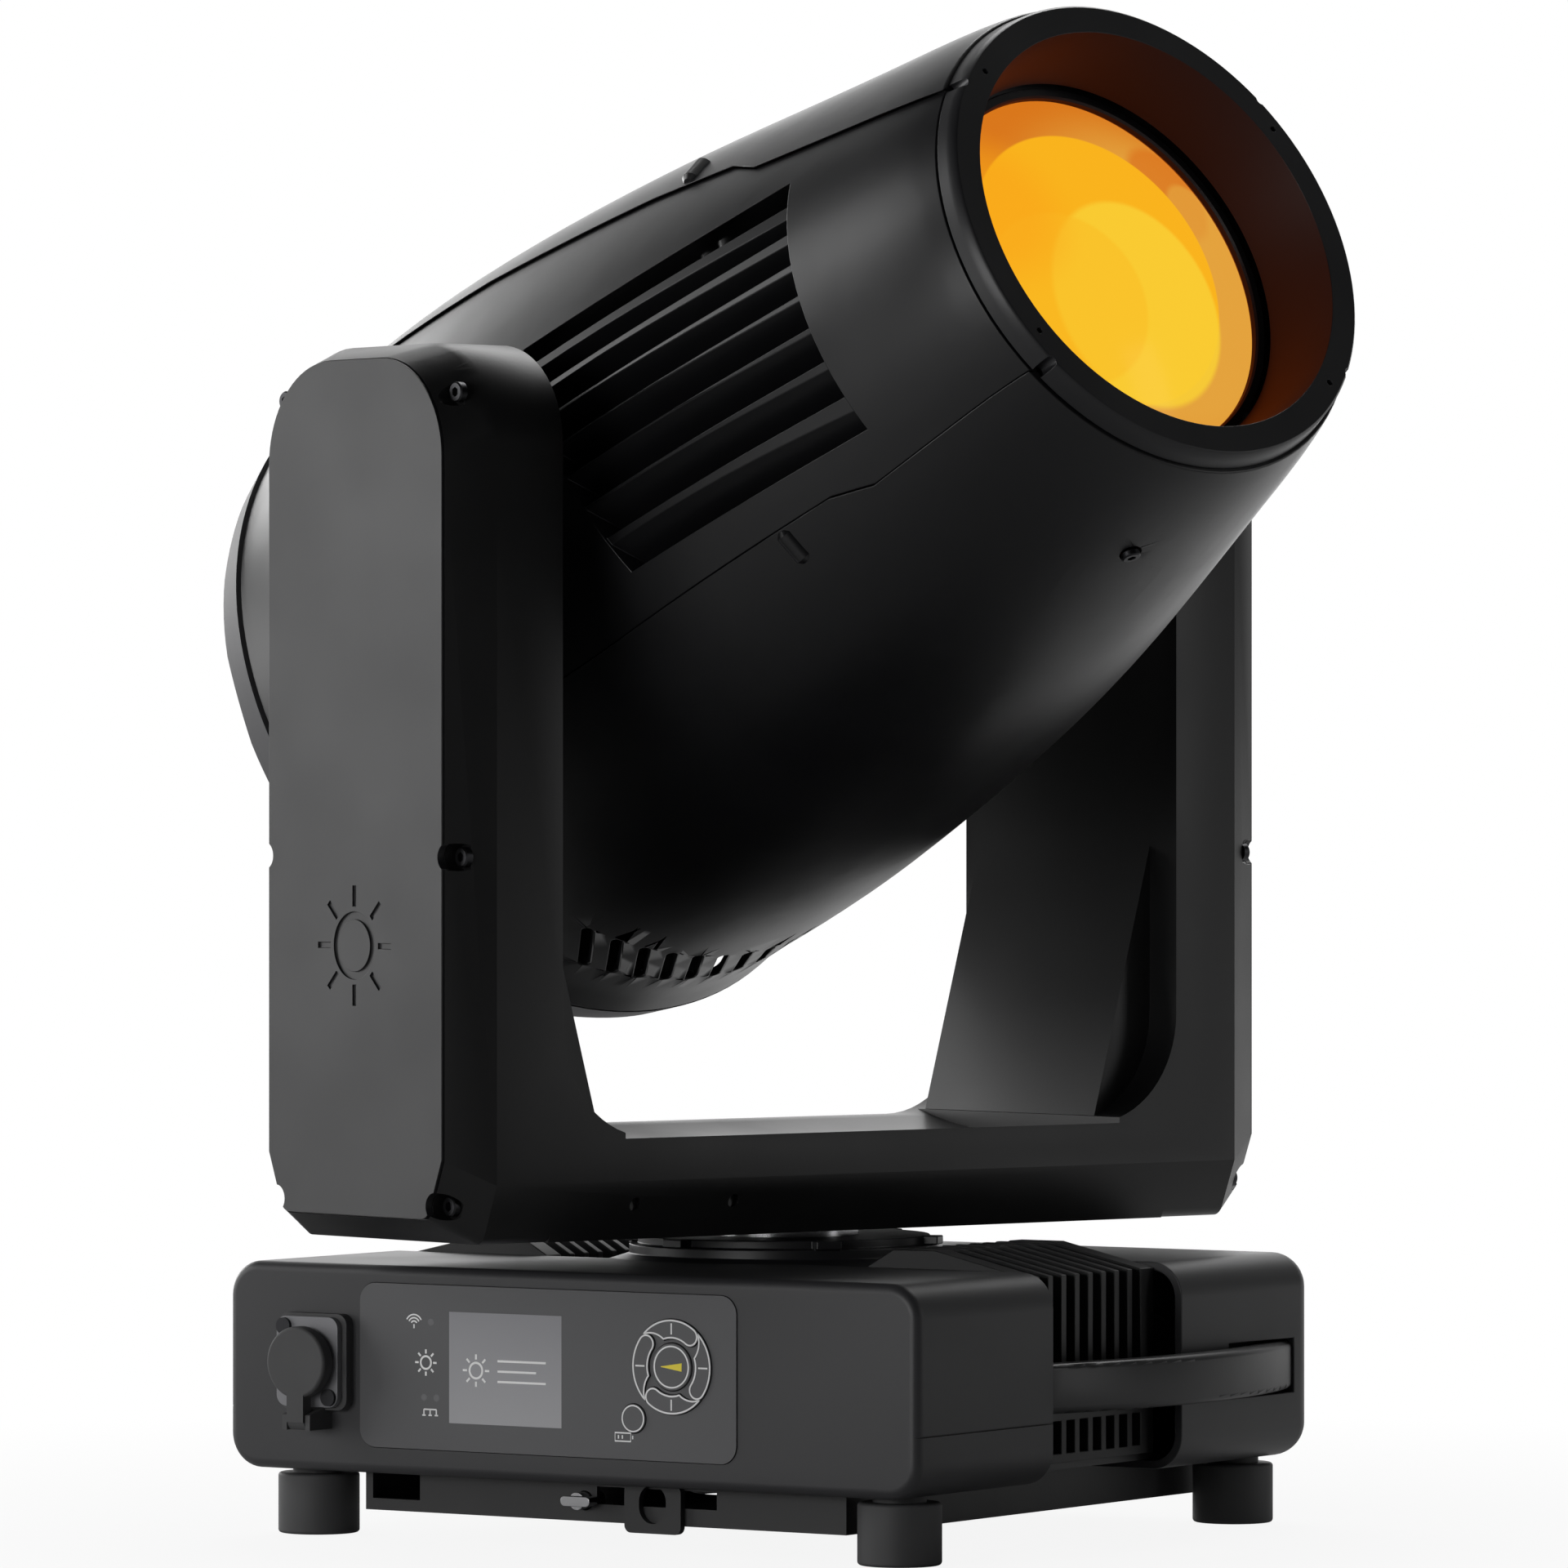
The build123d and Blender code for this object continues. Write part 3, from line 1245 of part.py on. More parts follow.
def front_bezel():
    """Front ring and the hood tube behind it, notched where the shells' seams meet it."""
    back = HEAD_FRONT - BEZEL_DEPTH + SEAM_GAP / 2
    hood_back = LENS_FACE - LENS_CROWN + 6
    with BuildPart() as bezel:
        with BuildSketch(Plane.XZ):
            with BuildLine():
                Polyline(
                    (RIM_OPENING, HEAD_FRONT),
                    (RIM_RADIUS - 0.8, HEAD_FRONT),
                    (RIM_RADIUS, HEAD_FRONT - 0.8),
                    (RIM_RADIUS + 1.6, back),
                    (RIM_OPENING + 2.5, back),
                    (RIM_OPENING - 2.0, hood_back),
                    (RIM_OPENING - 4.6, hood_back),
                    close=True,
                )
            make_face()
        revolve(axis=Axis.Z)
        for angle in (38, 142, 218, 322):
            spot = (RIM_RADIUS + 0.6) * cos(radians(angle)), (RIM_RADIUS + 0.6) * sin(radians(angle))
            with BuildSketch(Plane.XY.offset(back - 1)):
                with Locations(spot):
                    Circle(2.0)
            extrude(amount=BEZEL_DEPTH + 3, mode=Mode.SUBTRACT)
            with BuildSketch(Plane.XY.offset(HEAD_FRONT)):
                with Locations(Location((0, 0), angle - 7)):
                    with Locations((RIM_RADIUS - 5, 0)):
                        Circle(1.1)
            extrude(amount=-4, mode=Mode.SUBTRACT)
    write(bezel, "front_bezel", HEAD_POSE)


def crown_points(radius, base, height):
    """Edge, middle and top of a spherical crown, in a half section about the axis."""
    sphere = (radius * radius + height * height) / (2 * abs(height))
    half = sqrt(sphere**2 - radius**2 / 4) - (sphere - abs(height))
    rise = half if height > 0 else -half
    return (radius, base), (radius / 2, base + rise), (0, base + height)


def front_lens():
    """Plano-convex output lens with its thick flat edge."""
    with BuildPart() as lens:
        with BuildSketch(Plane.XZ):
            with BuildLine():
                rim = LENS_FACE - LENS_CROWN
                Polyline((0, rim - LENS_EDGE), (LENS_RADIUS, rim - LENS_EDGE), (LENS_RADIUS, rim))
                ThreePointArc(*crown_points(LENS_RADIUS, rim, LENS_CROWN))
                Line((0, LENS_FACE), (0, rim - LENS_EDGE))
            make_face()
        revolve(axis=Axis.Z)
    write(lens, "front_lens", HEAD_POSE)


# ---------------------------------------------------------------- head: inside
ROD_SPOTS = ((-66.0, 0.0), (66.0, 0.0))
RAIL_X = 76.0
ROD_RADIUS = 3.0
ROD_BACK = 22.0
ROD_FRONT = 156.0


SPINDLE_RADIUS = 3.0
PRISM_PIVOT = (-48.0, 48.0)
PRISM_REACH = sqrt(PRISM_PIVOT[0] ** 2 + PRISM_PIVOT[1] ** 2)
PRISM_PARKED = 15.0        # degrees, direction of the arm when the prism is out of the beam
PRISM_POST_RADIUS = 2.5


def head_frame():
    """Ring bulkheads joined by two rails, with a boss for each trunnion."""
    with BuildPart() as frame:
        seat = LENS_FACE - LENS_CROWN
        for low, high, bore, rim in (
            (seat - 8, seat + 2, LENS_RADIUS + LENS_FIT, FRONT_BULKHEAD),
            (ROD_FRONT, ROD_FRONT + 5, 58.0, FRONT_BULKHEAD),
            (ROD_BACK - 6, ROD_BACK, 42.0, BACK_BULKHEAD),
            (-76.0, -70.0, 30.0, BACK_BULKHEAD),
        ):
            with BuildSketch(Plane.XY.offset(low)):
                Circle(rim)
                Circle(bore, mode=Mode.SUBTRACT)
            extrude(amount=high - low)
        for side in (-1, 1):
            with BuildSketch(Plane.XY.offset(-76)):
                with Locations((side * 92, 0)):
                    Rectangle(8, 44)
            extrude(amount=ROD_BACK + 76)
            with BuildSketch(Plane.XY.offset(ROD_BACK - 6)):
                with Locations((side * RAIL_X, 0)):
                    Rectangle(4, 24)
            extrude(amount=seat + 2 - ROD_BACK + 6)
        with BuildSketch(Plane.XY.offset(ROD_BACK)):
            with Locations(PRISM_PIVOT):
                Circle(PRISM_POST_RADIUS)
        extrude(amount=14)
        with BuildSketch(Plane.XY.offset(-70)):
            with Locations((0, -WHEEL_DROP)):
                Circle(SPINDLE_RADIUS)
        extrude(amount=30)
    write(frame, "head_frame", HEAD_POSE)


def trunnions():
    """Hollow stub shafts; the left one carries the tilt pulley."""
    with BuildPart() as shafts:
        for side in (-1, 1):
            with BuildSketch(Plane.YZ.offset(side * 96)):
                Circle(TRUNNION_RADIUS)
                Circle(TRUNNION_BORE, mode=Mode.SUBTRACT)
            extrude(amount=side * (BELT_X + BELT_WIDTH + 3 - 96))
            with BuildSketch(Plane.YZ.offset(side * 96)):
                Circle(TRUNNION_RADIUS + 2)
                Circle(TRUNNION_BORE, mode=Mode.SUBTRACT)
            extrude(amount=side * 6)
    write(shafts, "trunnions", HEAD_POSE)


def tilt_pulley():
    with BuildPart() as pulley:
        with BuildSketch(Plane.YZ.offset(-BELT_X)):
            Circle(TILT_PULLEY_RADIUS)
            Circle(TRUNNION_RADIUS, mode=Mode.SUBTRACT)
        extrude(amount=-BELT_WIDTH)
    write(pulley, "tilt_pulley", HEAD_POSE)


def guide_rods():
    with BuildPart() as rods:
        with BuildSketch(Plane.XY.offset(ROD_BACK)):
            with Locations(ROD_SPOTS):
                Circle(ROD_RADIUS)
        extrude(amount=ROD_FRONT - ROD_BACK)
    write(rods, "guide_rods", HEAD_POSE)


def lens_carriage(label, along, glass):
    """Lens in a ring that runs on the two guide rods."""
    with BuildPart() as carriage:
        with BuildSketch(Plane.XY.offset(along)):
            Circle(glass + 5)
            Rectangle(2 * (ROD_SPOTS[1][0] + ROD_RADIUS + 2), 12)
            with Locations(ROD_SPOTS):
                Circle(ROD_RADIUS + RUNNING_GAP, mode=Mode.SUBTRACT)
        extrude(amount=8)
        with BuildSketch(Plane.XZ):
            with BuildLine():
                Line((0, along - 4), (0, along + 13))
                ThreePointArc(*crown_points(glass, along + 7, 6))
                Line((glass, along + 7), (glass, along + 1))
                ThreePointArc(*crown_points(glass, along + 1, -5))
            make_face()
        revolve(axis=Axis.Z)
    write(carriage, label, HEAD_POSE)


WHEEL_RADIUS = 50.0
WHEEL_DROP = 38.0
WHEEL_THICK = 1.5


def effect_wheel(label, along, openings, opening_radius):
    """Wheel with a ring of apertures that passes through the beam."""
    with BuildPart() as wheel:
        with BuildSketch(Plane.XY.offset(along)):
            with Locations((0, -WHEEL_DROP)):
                Circle(WHEEL_RADIUS)
                Circle(SPINDLE_RADIUS + RUNNING_GAP, mode=Mode.SUBTRACT)
            with Locations((0, -WHEEL_DROP)):
                with PolarLocations(WHEEL_RADIUS - 16, openings):
                    Circle(opening_radius, mode=Mode.SUBTRACT)
        extrude(amount=WHEEL_THICK)
    write(wheel, label, HEAD_POSE)


def light_engine():
    """LED array block with its condenser cone, behind the wheels."""
    with BuildPart() as engine:
        with BuildSketch(Plane.XY.offset(-98)):
            Rectangle(84, 84)
        extrude(amount=22)
        with BuildSketch(Plane.XY.offset(-76)):
            Circle(26)
        with BuildSketch(Plane.XY.offset(-66)):
            Circle(18)
        loft()
    write(engine, "light_engine", HEAD_POSE)


def engine_heatsink():
    """Fin stack on the back of the light engine, with the spider that holds the fan."""
    with BuildPart() as stack:
        with BuildSketch(Plane.XY.offset(-106)):
            Rectangle(120, 120)
        extrude(amount=8)
        with BuildSketch(Plane.XY.offset(-106)):
            with Locations([(x, 0) for x in range(-56, 57, 8)]):
                Rectangle(1.6, 116)
        extrude(amount=-42)
        with BuildSketch(Plane.XY.offset(-152)):
            Rectangle(110, 8)
            Rectangle(8, 110)
        extrude(amount=4)
        with BuildSketch(Plane.XY.offset(-152)):
            Circle(SPINDLE_RADIUS)
        extrude(amount=-22)
    write(stack, "engine_heatsink", HEAD_POSE)


FAN_RADIUS = 46.0
FAN_BLADES = 7


def rear_fan():
    """Fan rotor behind the fin stack."""
    with BuildPart() as rotor:
        with BuildSketch(Plane.XY.offset(-172)):
            Circle(17)
            Circle(SPINDLE_RADIUS + RUNNING_GAP, mode=Mode.SUBTRACT)
        extrude(amount=16)
        for i in range(FAN_BLADES):
            turn = 360 * i / FAN_BLADES
            root = Plane(origin=(0, 0, -164), z_dir=(cos(radians(turn)), sin(radians(turn)), 0))
            with BuildSketch(root.offset(15)):
                Rectangle(16, 1.6, rotation=40)
            extrude(amount=FAN_RADIUS - 15)
    write(rotor, "rear_fan", HEAD_POSE)


def prism_arm():
    """Prism on an arm that swings into the beam."""
    with BuildPart() as arm:
        with BuildSketch(Plane.XY.offset(30)):
            with Locations(Location(PRISM_PIVOT, PRISM_PARKED)):
                Circle(7)
                with Locations((PRISM_REACH / 2, 0)):
                    Rectangle(PRISM_REACH, 8)
                with Locations((PRISM_REACH, 0)):
                    Circle(22)
                Circle(PRISM_POST_RADIUS + RUNNING_GAP, mode=Mode.SUBTRACT)
        extrude(amount=4)
        with BuildSketch(Plane.XY.offset(34)):
            with Locations(Location(PRISM_PIVOT, PRISM_PARKED)):
                with Locations((PRISM_REACH, 0)):
                    RegularPolygon(17, 3)
        extrude(amount=5, taper=30)
    write(arm, "prism_arm", HEAD_POSE)


# ---------------------------------------------------------------- fasteners
def base_screws():
    """Two screws that hold the front socket on its cover."""
    with BuildPart() as screws:
        head = BASE_FRONT + GASKET_THICK + FLANGE_THICK
        with BuildSketch(front_plane(head)):
            for x, z in flange_screws():
                with Locations((SOCKET_X + x, SOCKET_Z + z)):
                    Circle(FLANGE_SCREW_RADIUS)
        extrude(amount=-(GASKET_THICK + FLANGE_THICK + BASE_WALL))
        with BuildSketch(front_plane(head)):
            for x, z in flange_screws():
                with Locations((SOCKET_X + x, SOCKET_Z + z)):
                    Circle(2.9)
        extrude(amount=1.2)
    write(screws, "base_screws")


def head():
    bodies = {
        "outer": head_envelope(0),
        "inner": head_envelope(HEAD_WALL),
        "side_outer": head_envelope(SIDE_INSET),
        "side_inner": head_envelope(SIDE_INSET + HEAD_WALL),
        "tray_top": head_envelope(TRAY_INSET),
        "tray_floor": head_envelope(TRAY_INSET + 2.5),
        "slat_outer": head_envelope(SIDE_INSET + 1.0),
        "slat_inner": head_envelope(TRAY_INSET + 0.5),
    }
    cutters = [side_prism(-1, 0), side_prism(1, 0)]
    top_shell(bodies["outer"], bodies["inner"], cutters)
    bottom_shell(bodies["outer"], bodies["inner"], cutters)
    side_panel(-1, "left_side_panel", bodies)
    side_panel(1, "right_side_panel", bodies)
    rear_dome()
    front_bezel()
    front_lens()
    head_frame()
    trunnions()
    tilt_pulley()
    guide_rods()
    lens_carriage("focus_carriage", 62, 40)
    lens_carriage("zoom_carriage", 112, 48)
    effect_wheel("colour_wheel", -60, 7, 9)
    effect_wheel("gobo_wheel", -50, 8, 8)
    light_engine()
    engine_heatsink()
    rear_fan()
    prism_arm()


def base():
    front_cover()
    rear_cover()
    carry_handles()
    chassis()
    side_heatsink(-1, "left_heatsink")
    side_heatsink(1, "right_heatsink")
    feet()
    underside_frame()
    bracket_latch()
    control_panel()
    status_lights()
    display_window()
    navigation_keys()
    round_keys()
    main_board()
    front_socket()
    socket_gasket()
    socket_cap()
    rear_sockets()
    power_supply()
    base_screws()
    pan_pedestal()
    pan_tube()
    pan_pulley()


def yoke():
    yoke_frame()
    arm_cover(-1, "left_arm_cover")
    arm_cover(1, "right_arm_cover")
    arm_screws()
    bearing_plate()
    pan_bearing()
    pan_motor()
    pan_motor_pulley()
    pan_belt()
    tilt_motor()
    tilt_motor_pulley()
    tilt_belt()
    tilt_bearings()


base()
yoke()
head()
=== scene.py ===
# %% [markdown]
# # Moving head light
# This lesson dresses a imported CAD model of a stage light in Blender. The base, the yoke and the
# head already have their true sizes and joints. Each cell adds one finish or one visible piece,
# and says what it is on the real light and why it is made this way.

# %% Load the fixed frame
import json
from math import cos, pi, radians, sin, sqrt

import bmesh
import bpy
from mathutils import Matrix, Vector

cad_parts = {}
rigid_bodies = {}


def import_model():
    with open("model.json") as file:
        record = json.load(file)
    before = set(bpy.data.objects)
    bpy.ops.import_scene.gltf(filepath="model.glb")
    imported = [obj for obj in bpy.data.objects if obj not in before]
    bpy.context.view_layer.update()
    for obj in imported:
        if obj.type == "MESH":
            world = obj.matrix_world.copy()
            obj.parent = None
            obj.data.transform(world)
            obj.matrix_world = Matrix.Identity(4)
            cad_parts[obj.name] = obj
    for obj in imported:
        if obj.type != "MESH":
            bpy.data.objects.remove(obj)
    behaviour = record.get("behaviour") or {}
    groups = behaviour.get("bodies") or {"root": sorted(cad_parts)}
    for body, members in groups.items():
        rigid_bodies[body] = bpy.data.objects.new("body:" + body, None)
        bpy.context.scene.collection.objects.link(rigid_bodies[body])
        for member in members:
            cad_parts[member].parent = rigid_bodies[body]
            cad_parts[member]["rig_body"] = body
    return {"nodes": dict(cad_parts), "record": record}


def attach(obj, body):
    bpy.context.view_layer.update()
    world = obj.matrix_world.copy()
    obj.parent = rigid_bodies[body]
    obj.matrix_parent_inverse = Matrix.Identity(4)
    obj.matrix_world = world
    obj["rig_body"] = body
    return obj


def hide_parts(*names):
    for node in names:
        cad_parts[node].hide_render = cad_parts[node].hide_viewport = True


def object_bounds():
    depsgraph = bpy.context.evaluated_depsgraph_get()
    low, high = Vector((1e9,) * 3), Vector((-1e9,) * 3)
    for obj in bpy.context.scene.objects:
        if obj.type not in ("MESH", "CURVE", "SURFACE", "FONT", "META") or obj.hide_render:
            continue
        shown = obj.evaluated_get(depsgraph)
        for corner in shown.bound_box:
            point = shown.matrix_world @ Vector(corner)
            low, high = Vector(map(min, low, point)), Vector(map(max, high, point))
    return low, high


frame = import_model()
cad_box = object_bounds()
print("CAD box, metres:", [round(value, 4) for corner in cad_box for value in corner])

# %% [markdown]
# The CAD is in metres and this lesson's sizes are in millimetres, as a workshop gives them. The
# head's own axes are named once: X runs along the tilt axis, UP is the head's upper side, and
# BEAM points out of the lens. A piece of the head is made in those axes and then placed.

# %% Units and the head's axes
MM = 0.001
PAN_REST = radians(73.6)
TILT_REST = radians(24.9)
TILT_CENTRE = Vector((0, 0, 0.344))
X_AXIS = Vector((cos(PAN_REST), sin(PAN_REST), 0))
FORWARD = Vector((sin(PAN_REST), -cos(PAN_REST), 0))
BEAM = FORWARD * cos(TILT_REST) + Vector((0, 0, sin(TILT_REST)))
UP = Vector((0, 0, cos(TILT_REST))) - FORWARD * sin(TILT_REST)
HEAD = Matrix.Translation(TILT_CENTRE) @ Matrix((X_AXIS, UP, BEAM)).transposed().to_4x4()
YOKE = Matrix((X_AXIS, -FORWARD, Vector((0, 0, 1)))).transposed().to_4x4()
BASE = Matrix.Identity(4)
print("beam direction:", [round(value, 4) for value in BEAM])

# %% [markdown]
# Colours are written as the hex values that a paint chart or a screen shows. Cycles works with
# linear light, so one function turns a hex value into linear numbers.

# %% Colours


def tint(hex_value):
    """Linear colour of an sRGB hex value such as 0x3A3A3C."""
    channels = []
    for shift in (16, 8, 0):
        value = (hex_value >> shift & 255) / 255
        channels.append(value / 12.92 if value <= 0.04045 else ((value + 0.055) / 1.055) ** 2.4)
    return (*channels, 1.0)


# %% [markdown]
# Every node tree here is built with one small helper. It adds a node, applies its settings, and
# fills each input with either a value or a link, so a tree reads from its inputs to its output.
# A second helper starts a material with an empty tree, and a third finds a node of one kind.

# %% Helpers for nodes


def add_node(tree, kind, inputs=None, **settings):
    """New node with its settings, and with a value or a link in each named input."""
    node = tree.nodes.new(kind)
    for key, value in settings.items():
        setattr(node, key, value)
    for socket, value in (inputs or {}).items():
        if isinstance(value, bpy.types.NodeSocket):
            tree.links.new(value, node.inputs[socket])
        else:
            node.inputs[socket].default_value = value
    return node


def new_material(name):
    """Material with an empty node tree."""
    material = bpy.data.materials.new(name)
    material.use_nodes = True
    material.node_tree.nodes.clear()
    return material, material.node_tree


def find_node(tree, kind):
    """The first node of a kind in a tree."""
    return next(node for node in tree.nodes if node.type == kind)


# %% [markdown]
# Most of the light is moulded or painted, and such a skin is never quite even. Its grain is a
# fine noise in the bump, its sheen drifts a little over a hand's breadth, and its colour drifts
# with it. One function makes that skin, and each finish below gives it real values.

# %% A skin with grain, drift and sheen
GRAIN_SEEN = 1.3  # mm, the finest grain that shows when the whole light is in view
DRIFT_SIZE = 45  # mm, breadth of the slow drift in sheen and colour
LIGHTEST = 1.08  # how much lighter the colour gets where it drifts furthest
GRAIN_STRENGTH = 0.6


def skin(name, colour, rough, grain=GRAIN_SEEN, depth=0.02, drift=0.025, metallic=0.0, **shader):
    """Satin skin: grain in mm, depth of the grain in mm, drift of the roughness."""
    material, tree = new_material(name)
    place = add_node(tree, "ShaderNodeTexCoord").outputs["Object"]
    broad = add_node(
        tree, "ShaderNodeTexNoise", {"Vector": place, "Scale": 1 / (DRIFT_SIZE * MM), "Detail": 3.0}
    )
    fine = add_node(
        tree, "ShaderNodeTexNoise", {"Vector": place, "Scale": 1 / (grain * MM), "Detail": 2.0}
    )
    roughness = add_node(
        tree,
        "ShaderNodeMapRange",
        {0: broad.outputs["Fac"], 1: 0.3, 2: 0.7, 3: rough - drift, 4: rough + drift},
    )
    light = [min(1.0, part * LIGHTEST) for part in tint(colour)[:3]]
    colours = add_node(
        tree,
        "ShaderNodeMix",
        {0: broad.outputs["Fac"], 6: tint(colour), 7: (*light, 1.0)},
        data_type="RGBA",
    )
    bump = add_node(
        tree,
        "ShaderNodeBump",
        {"Height": fine.outputs["Fac"], "Distance": depth * MM, "Strength": GRAIN_STRENGTH},
    )
    inputs = {
        "Base Color": colours.outputs[2],
        "Roughness": roughness.outputs["Result"],
        "Normal": bump.outputs["Normal"],
        "Metallic": metallic,
    }
    inputs.update({key.replace("_", " "): value for key, value in shader.items()})
    surface = add_node(tree, "ShaderNodeBsdfPrincipled", inputs)
    add_node(tree, "ShaderNodeOutputMaterial", {"Surface": surface.outputs[0]})
    return material


# %% [markdown]
# The covers of the head and the arms are ABS with a fine spark-eroded skin, which turns light
# into a broad soft sheen. The yoke is cast aluminium under black satin powder, a little duller
# and coarser. The base's covers and its panel are a lighter charcoal.

# %% Finishes of the housings
finish = {
    "base_plastic": skin("moulded_abs_base", 0x2E2E30, 0.46),
    "panel_plastic": skin("moulded_abs_panel", 0x505052, 0.52),
    "shell_plastic": skin("moulded_abs_head", 0x101012, 0.35, depth=0.012),
    # Part of the rear dome's lighter grey is painted light: it stands in for the strong light from
    # the left and behind on its facets.
    "dome_plastic": skin("moulded_abs_rear", 0x4A4A4C, 0.58, Specular_IOR_Level=0.3),
    "arm_plastic": skin("moulded_abs_arm", 0x19191B, 0.47),
    "cast_paint": skin("powder_coated_casting", 0x0F0F10, 0.40, grain=1.8, depth=0.03),
    "fin_paint": skin("painted_fins", 0x141415, 0.45),
    "sheet_paint": skin("powder_coated_sheet", 0x222223, 0.42, grain=1.6, depth=0.03),
    "handle_plastic": skin("moulded_nylon_handle", 0x1C1C1E, 0.38),
    "key_rubber": skin("silicone_key", 0x555557, 0.55),
    "black_rubber": skin("moulded_rubber", 0x3E3E3F, 0.62, grain=2.2, depth=0.05, drift=0.08),
}
print("housing finishes:", len(finish))

# %% [markdown]
# Bare metals keep the shader's own IOR and get their look from roughness. Sockets are die-cast
# zinc with a dark satin plating, the latch and the bearings are bright steel, and the screws are
# blackened steel. Pieces inside the housings get the plain finishes such parts have.

# %% Finishes of the metal and inner pieces
finish.update(
    {
        "socket_metal": skin("dark_plated_zinc", 0x7A7A7D, 0.42, metallic=0.35),
        "black_screw": skin("black_oxide_steel", 0x3A3A3C, 0.4, metallic=1.0),
        "bright_steel": skin("ground_steel", 0xC4C4C6, 0.24, depth=0.01, metallic=1.0),
        "plain_aluminium": skin("milled_aluminium", 0xA6A8AB, 0.34, metallic=1.0),
        "motor_steel": skin("zinc_plated_steel", 0x86888C, 0.36, metallic=1.0),
        "wheel_steel": skin("etched_steel_wheel", 0x8A8C90, 0.3, metallic=1.0),
        "wheel_glass": skin("dichroic_wheel", 0x8C7CB0, 0.18, metallic=0.6),
        "board_green": skin("solder_mask", 0x1C4A2C, 0.4),
        "lens_carrier": skin("black_lens_mount", 0x2C3036, 0.3, Coat_Weight=0.6),
        "prism_carrier": skin("prism_mount", 0xAEB4BC, 0.22, metallic=0.4, Coat_Weight=0.8),
        "status_glass": skin("smoked_light_pipe", 0x6A6A6C, 0.22, Coat_Weight=0.5),
    }
)
white_print = skin("white_silkscreen", 0xE9E9E9, 0.5)
yellow_print = skin("yellow_silkscreen", 0xF0DC3C, 0.5)
print("finishes in all:", len(finish))

# %% [markdown]
# The display is glass over a dim grey screen, a little lighter at its lower edge than at its
# upper one. The gradient is tied to the glass itself through object coordinates.

# %% Display glass
DISPLAY_X, DISPLAY_Z = -24.4, 51.2  # centre of the glass, mm
DISPLAY_WIDTH, DISPLAY_HEIGHT = 46.7, 37.8
DISPLAY_LIGHT, DISPLAY_DARK = 0xA8A8AB, 0x929296


def display_glass():
    """Grey glass that gets a little darker from its lower to its upper edge."""
    material = skin("display_glass", 0x808083, 0.2, depth=0.002, drift=0.02, Coat_Weight=0.35)
    tree = material.node_tree
    surface = find_node(tree, "BSDF_PRINCIPLED")
    place = find_node(tree, "TEX_COORD").outputs["Object"]
    centred = add_node(
        tree,
        "ShaderNodeMapping",
        {
            "Vector": place,
            "Location": (0.5 - DISPLAY_X / DISPLAY_WIDTH, 0, 0.5 - DISPLAY_Z / DISPLAY_HEIGHT),
            "Scale": (1 / (DISPLAY_WIDTH * MM), 1, 1 / (DISPLAY_HEIGHT * MM)),
        },
    )
    split = add_node(tree, "ShaderNodeSeparateXYZ", {0: centred.outputs[0]})
    ramp = add_node(
        tree,
        "ShaderNodeMapRange",
        {0: split.outputs["Z"], 1: 0.0, 2: 1.0, 3: 0.0, 4: 1.0},
    )
    shade = add_node(
        tree,
        "ShaderNodeMix",
        {0: ramp.outputs["Result"], 6: tint(DISPLAY_LIGHT), 7: tint(DISPLAY_DARK)},
        data_type="RGBA",
    )
    tree.links.new(shade.outputs[2], surface.inputs["Base Color"])
    return material


finish["display_glass"] = display_glass()

# %% [markdown]
# The output lens is the one bright thing on the light. Warm light fills it: a yellow disc in the
# middle, an amber ring outside it, and soft arcs where the lenses behind reflect. The colours
# are discs on the lens, each with its own centre, radius and soft edge, laid over each other in
# order. The glass itself adds only a faint gloss, and the hood round it gets a deeper amber.

# %% Amber lens
LENS_RADIUS = 66.0
OUTER_AMBER = 0xDE7A1C
SPILL = 0xB84E0E  # the deeper amber that reaches the hood round the lens
GLOW = 0.95
GLOW_ZONES = (  # colour, centre along X and UP, radius and half the soft edge in mm, share
    (0xE9A63F, 22, -8, 60, 18, 1.0),
    (0xE07B22, 40, 30, 19, 2.5, 0.85),
    (0xE9A63F, 50, 20, 15, 1.5, 0.7),
    (0xFFB71E, -4, -1, 50.5, 0.5, 1.0),
    (0xFFD336, 6, -15, 37, 1.4, 0.85),
    (0xFFC025, -24, -14, 31, 1.2, 0.55),
    (0xFFA81A, -46, 20, 26, 12, 0.6),
)


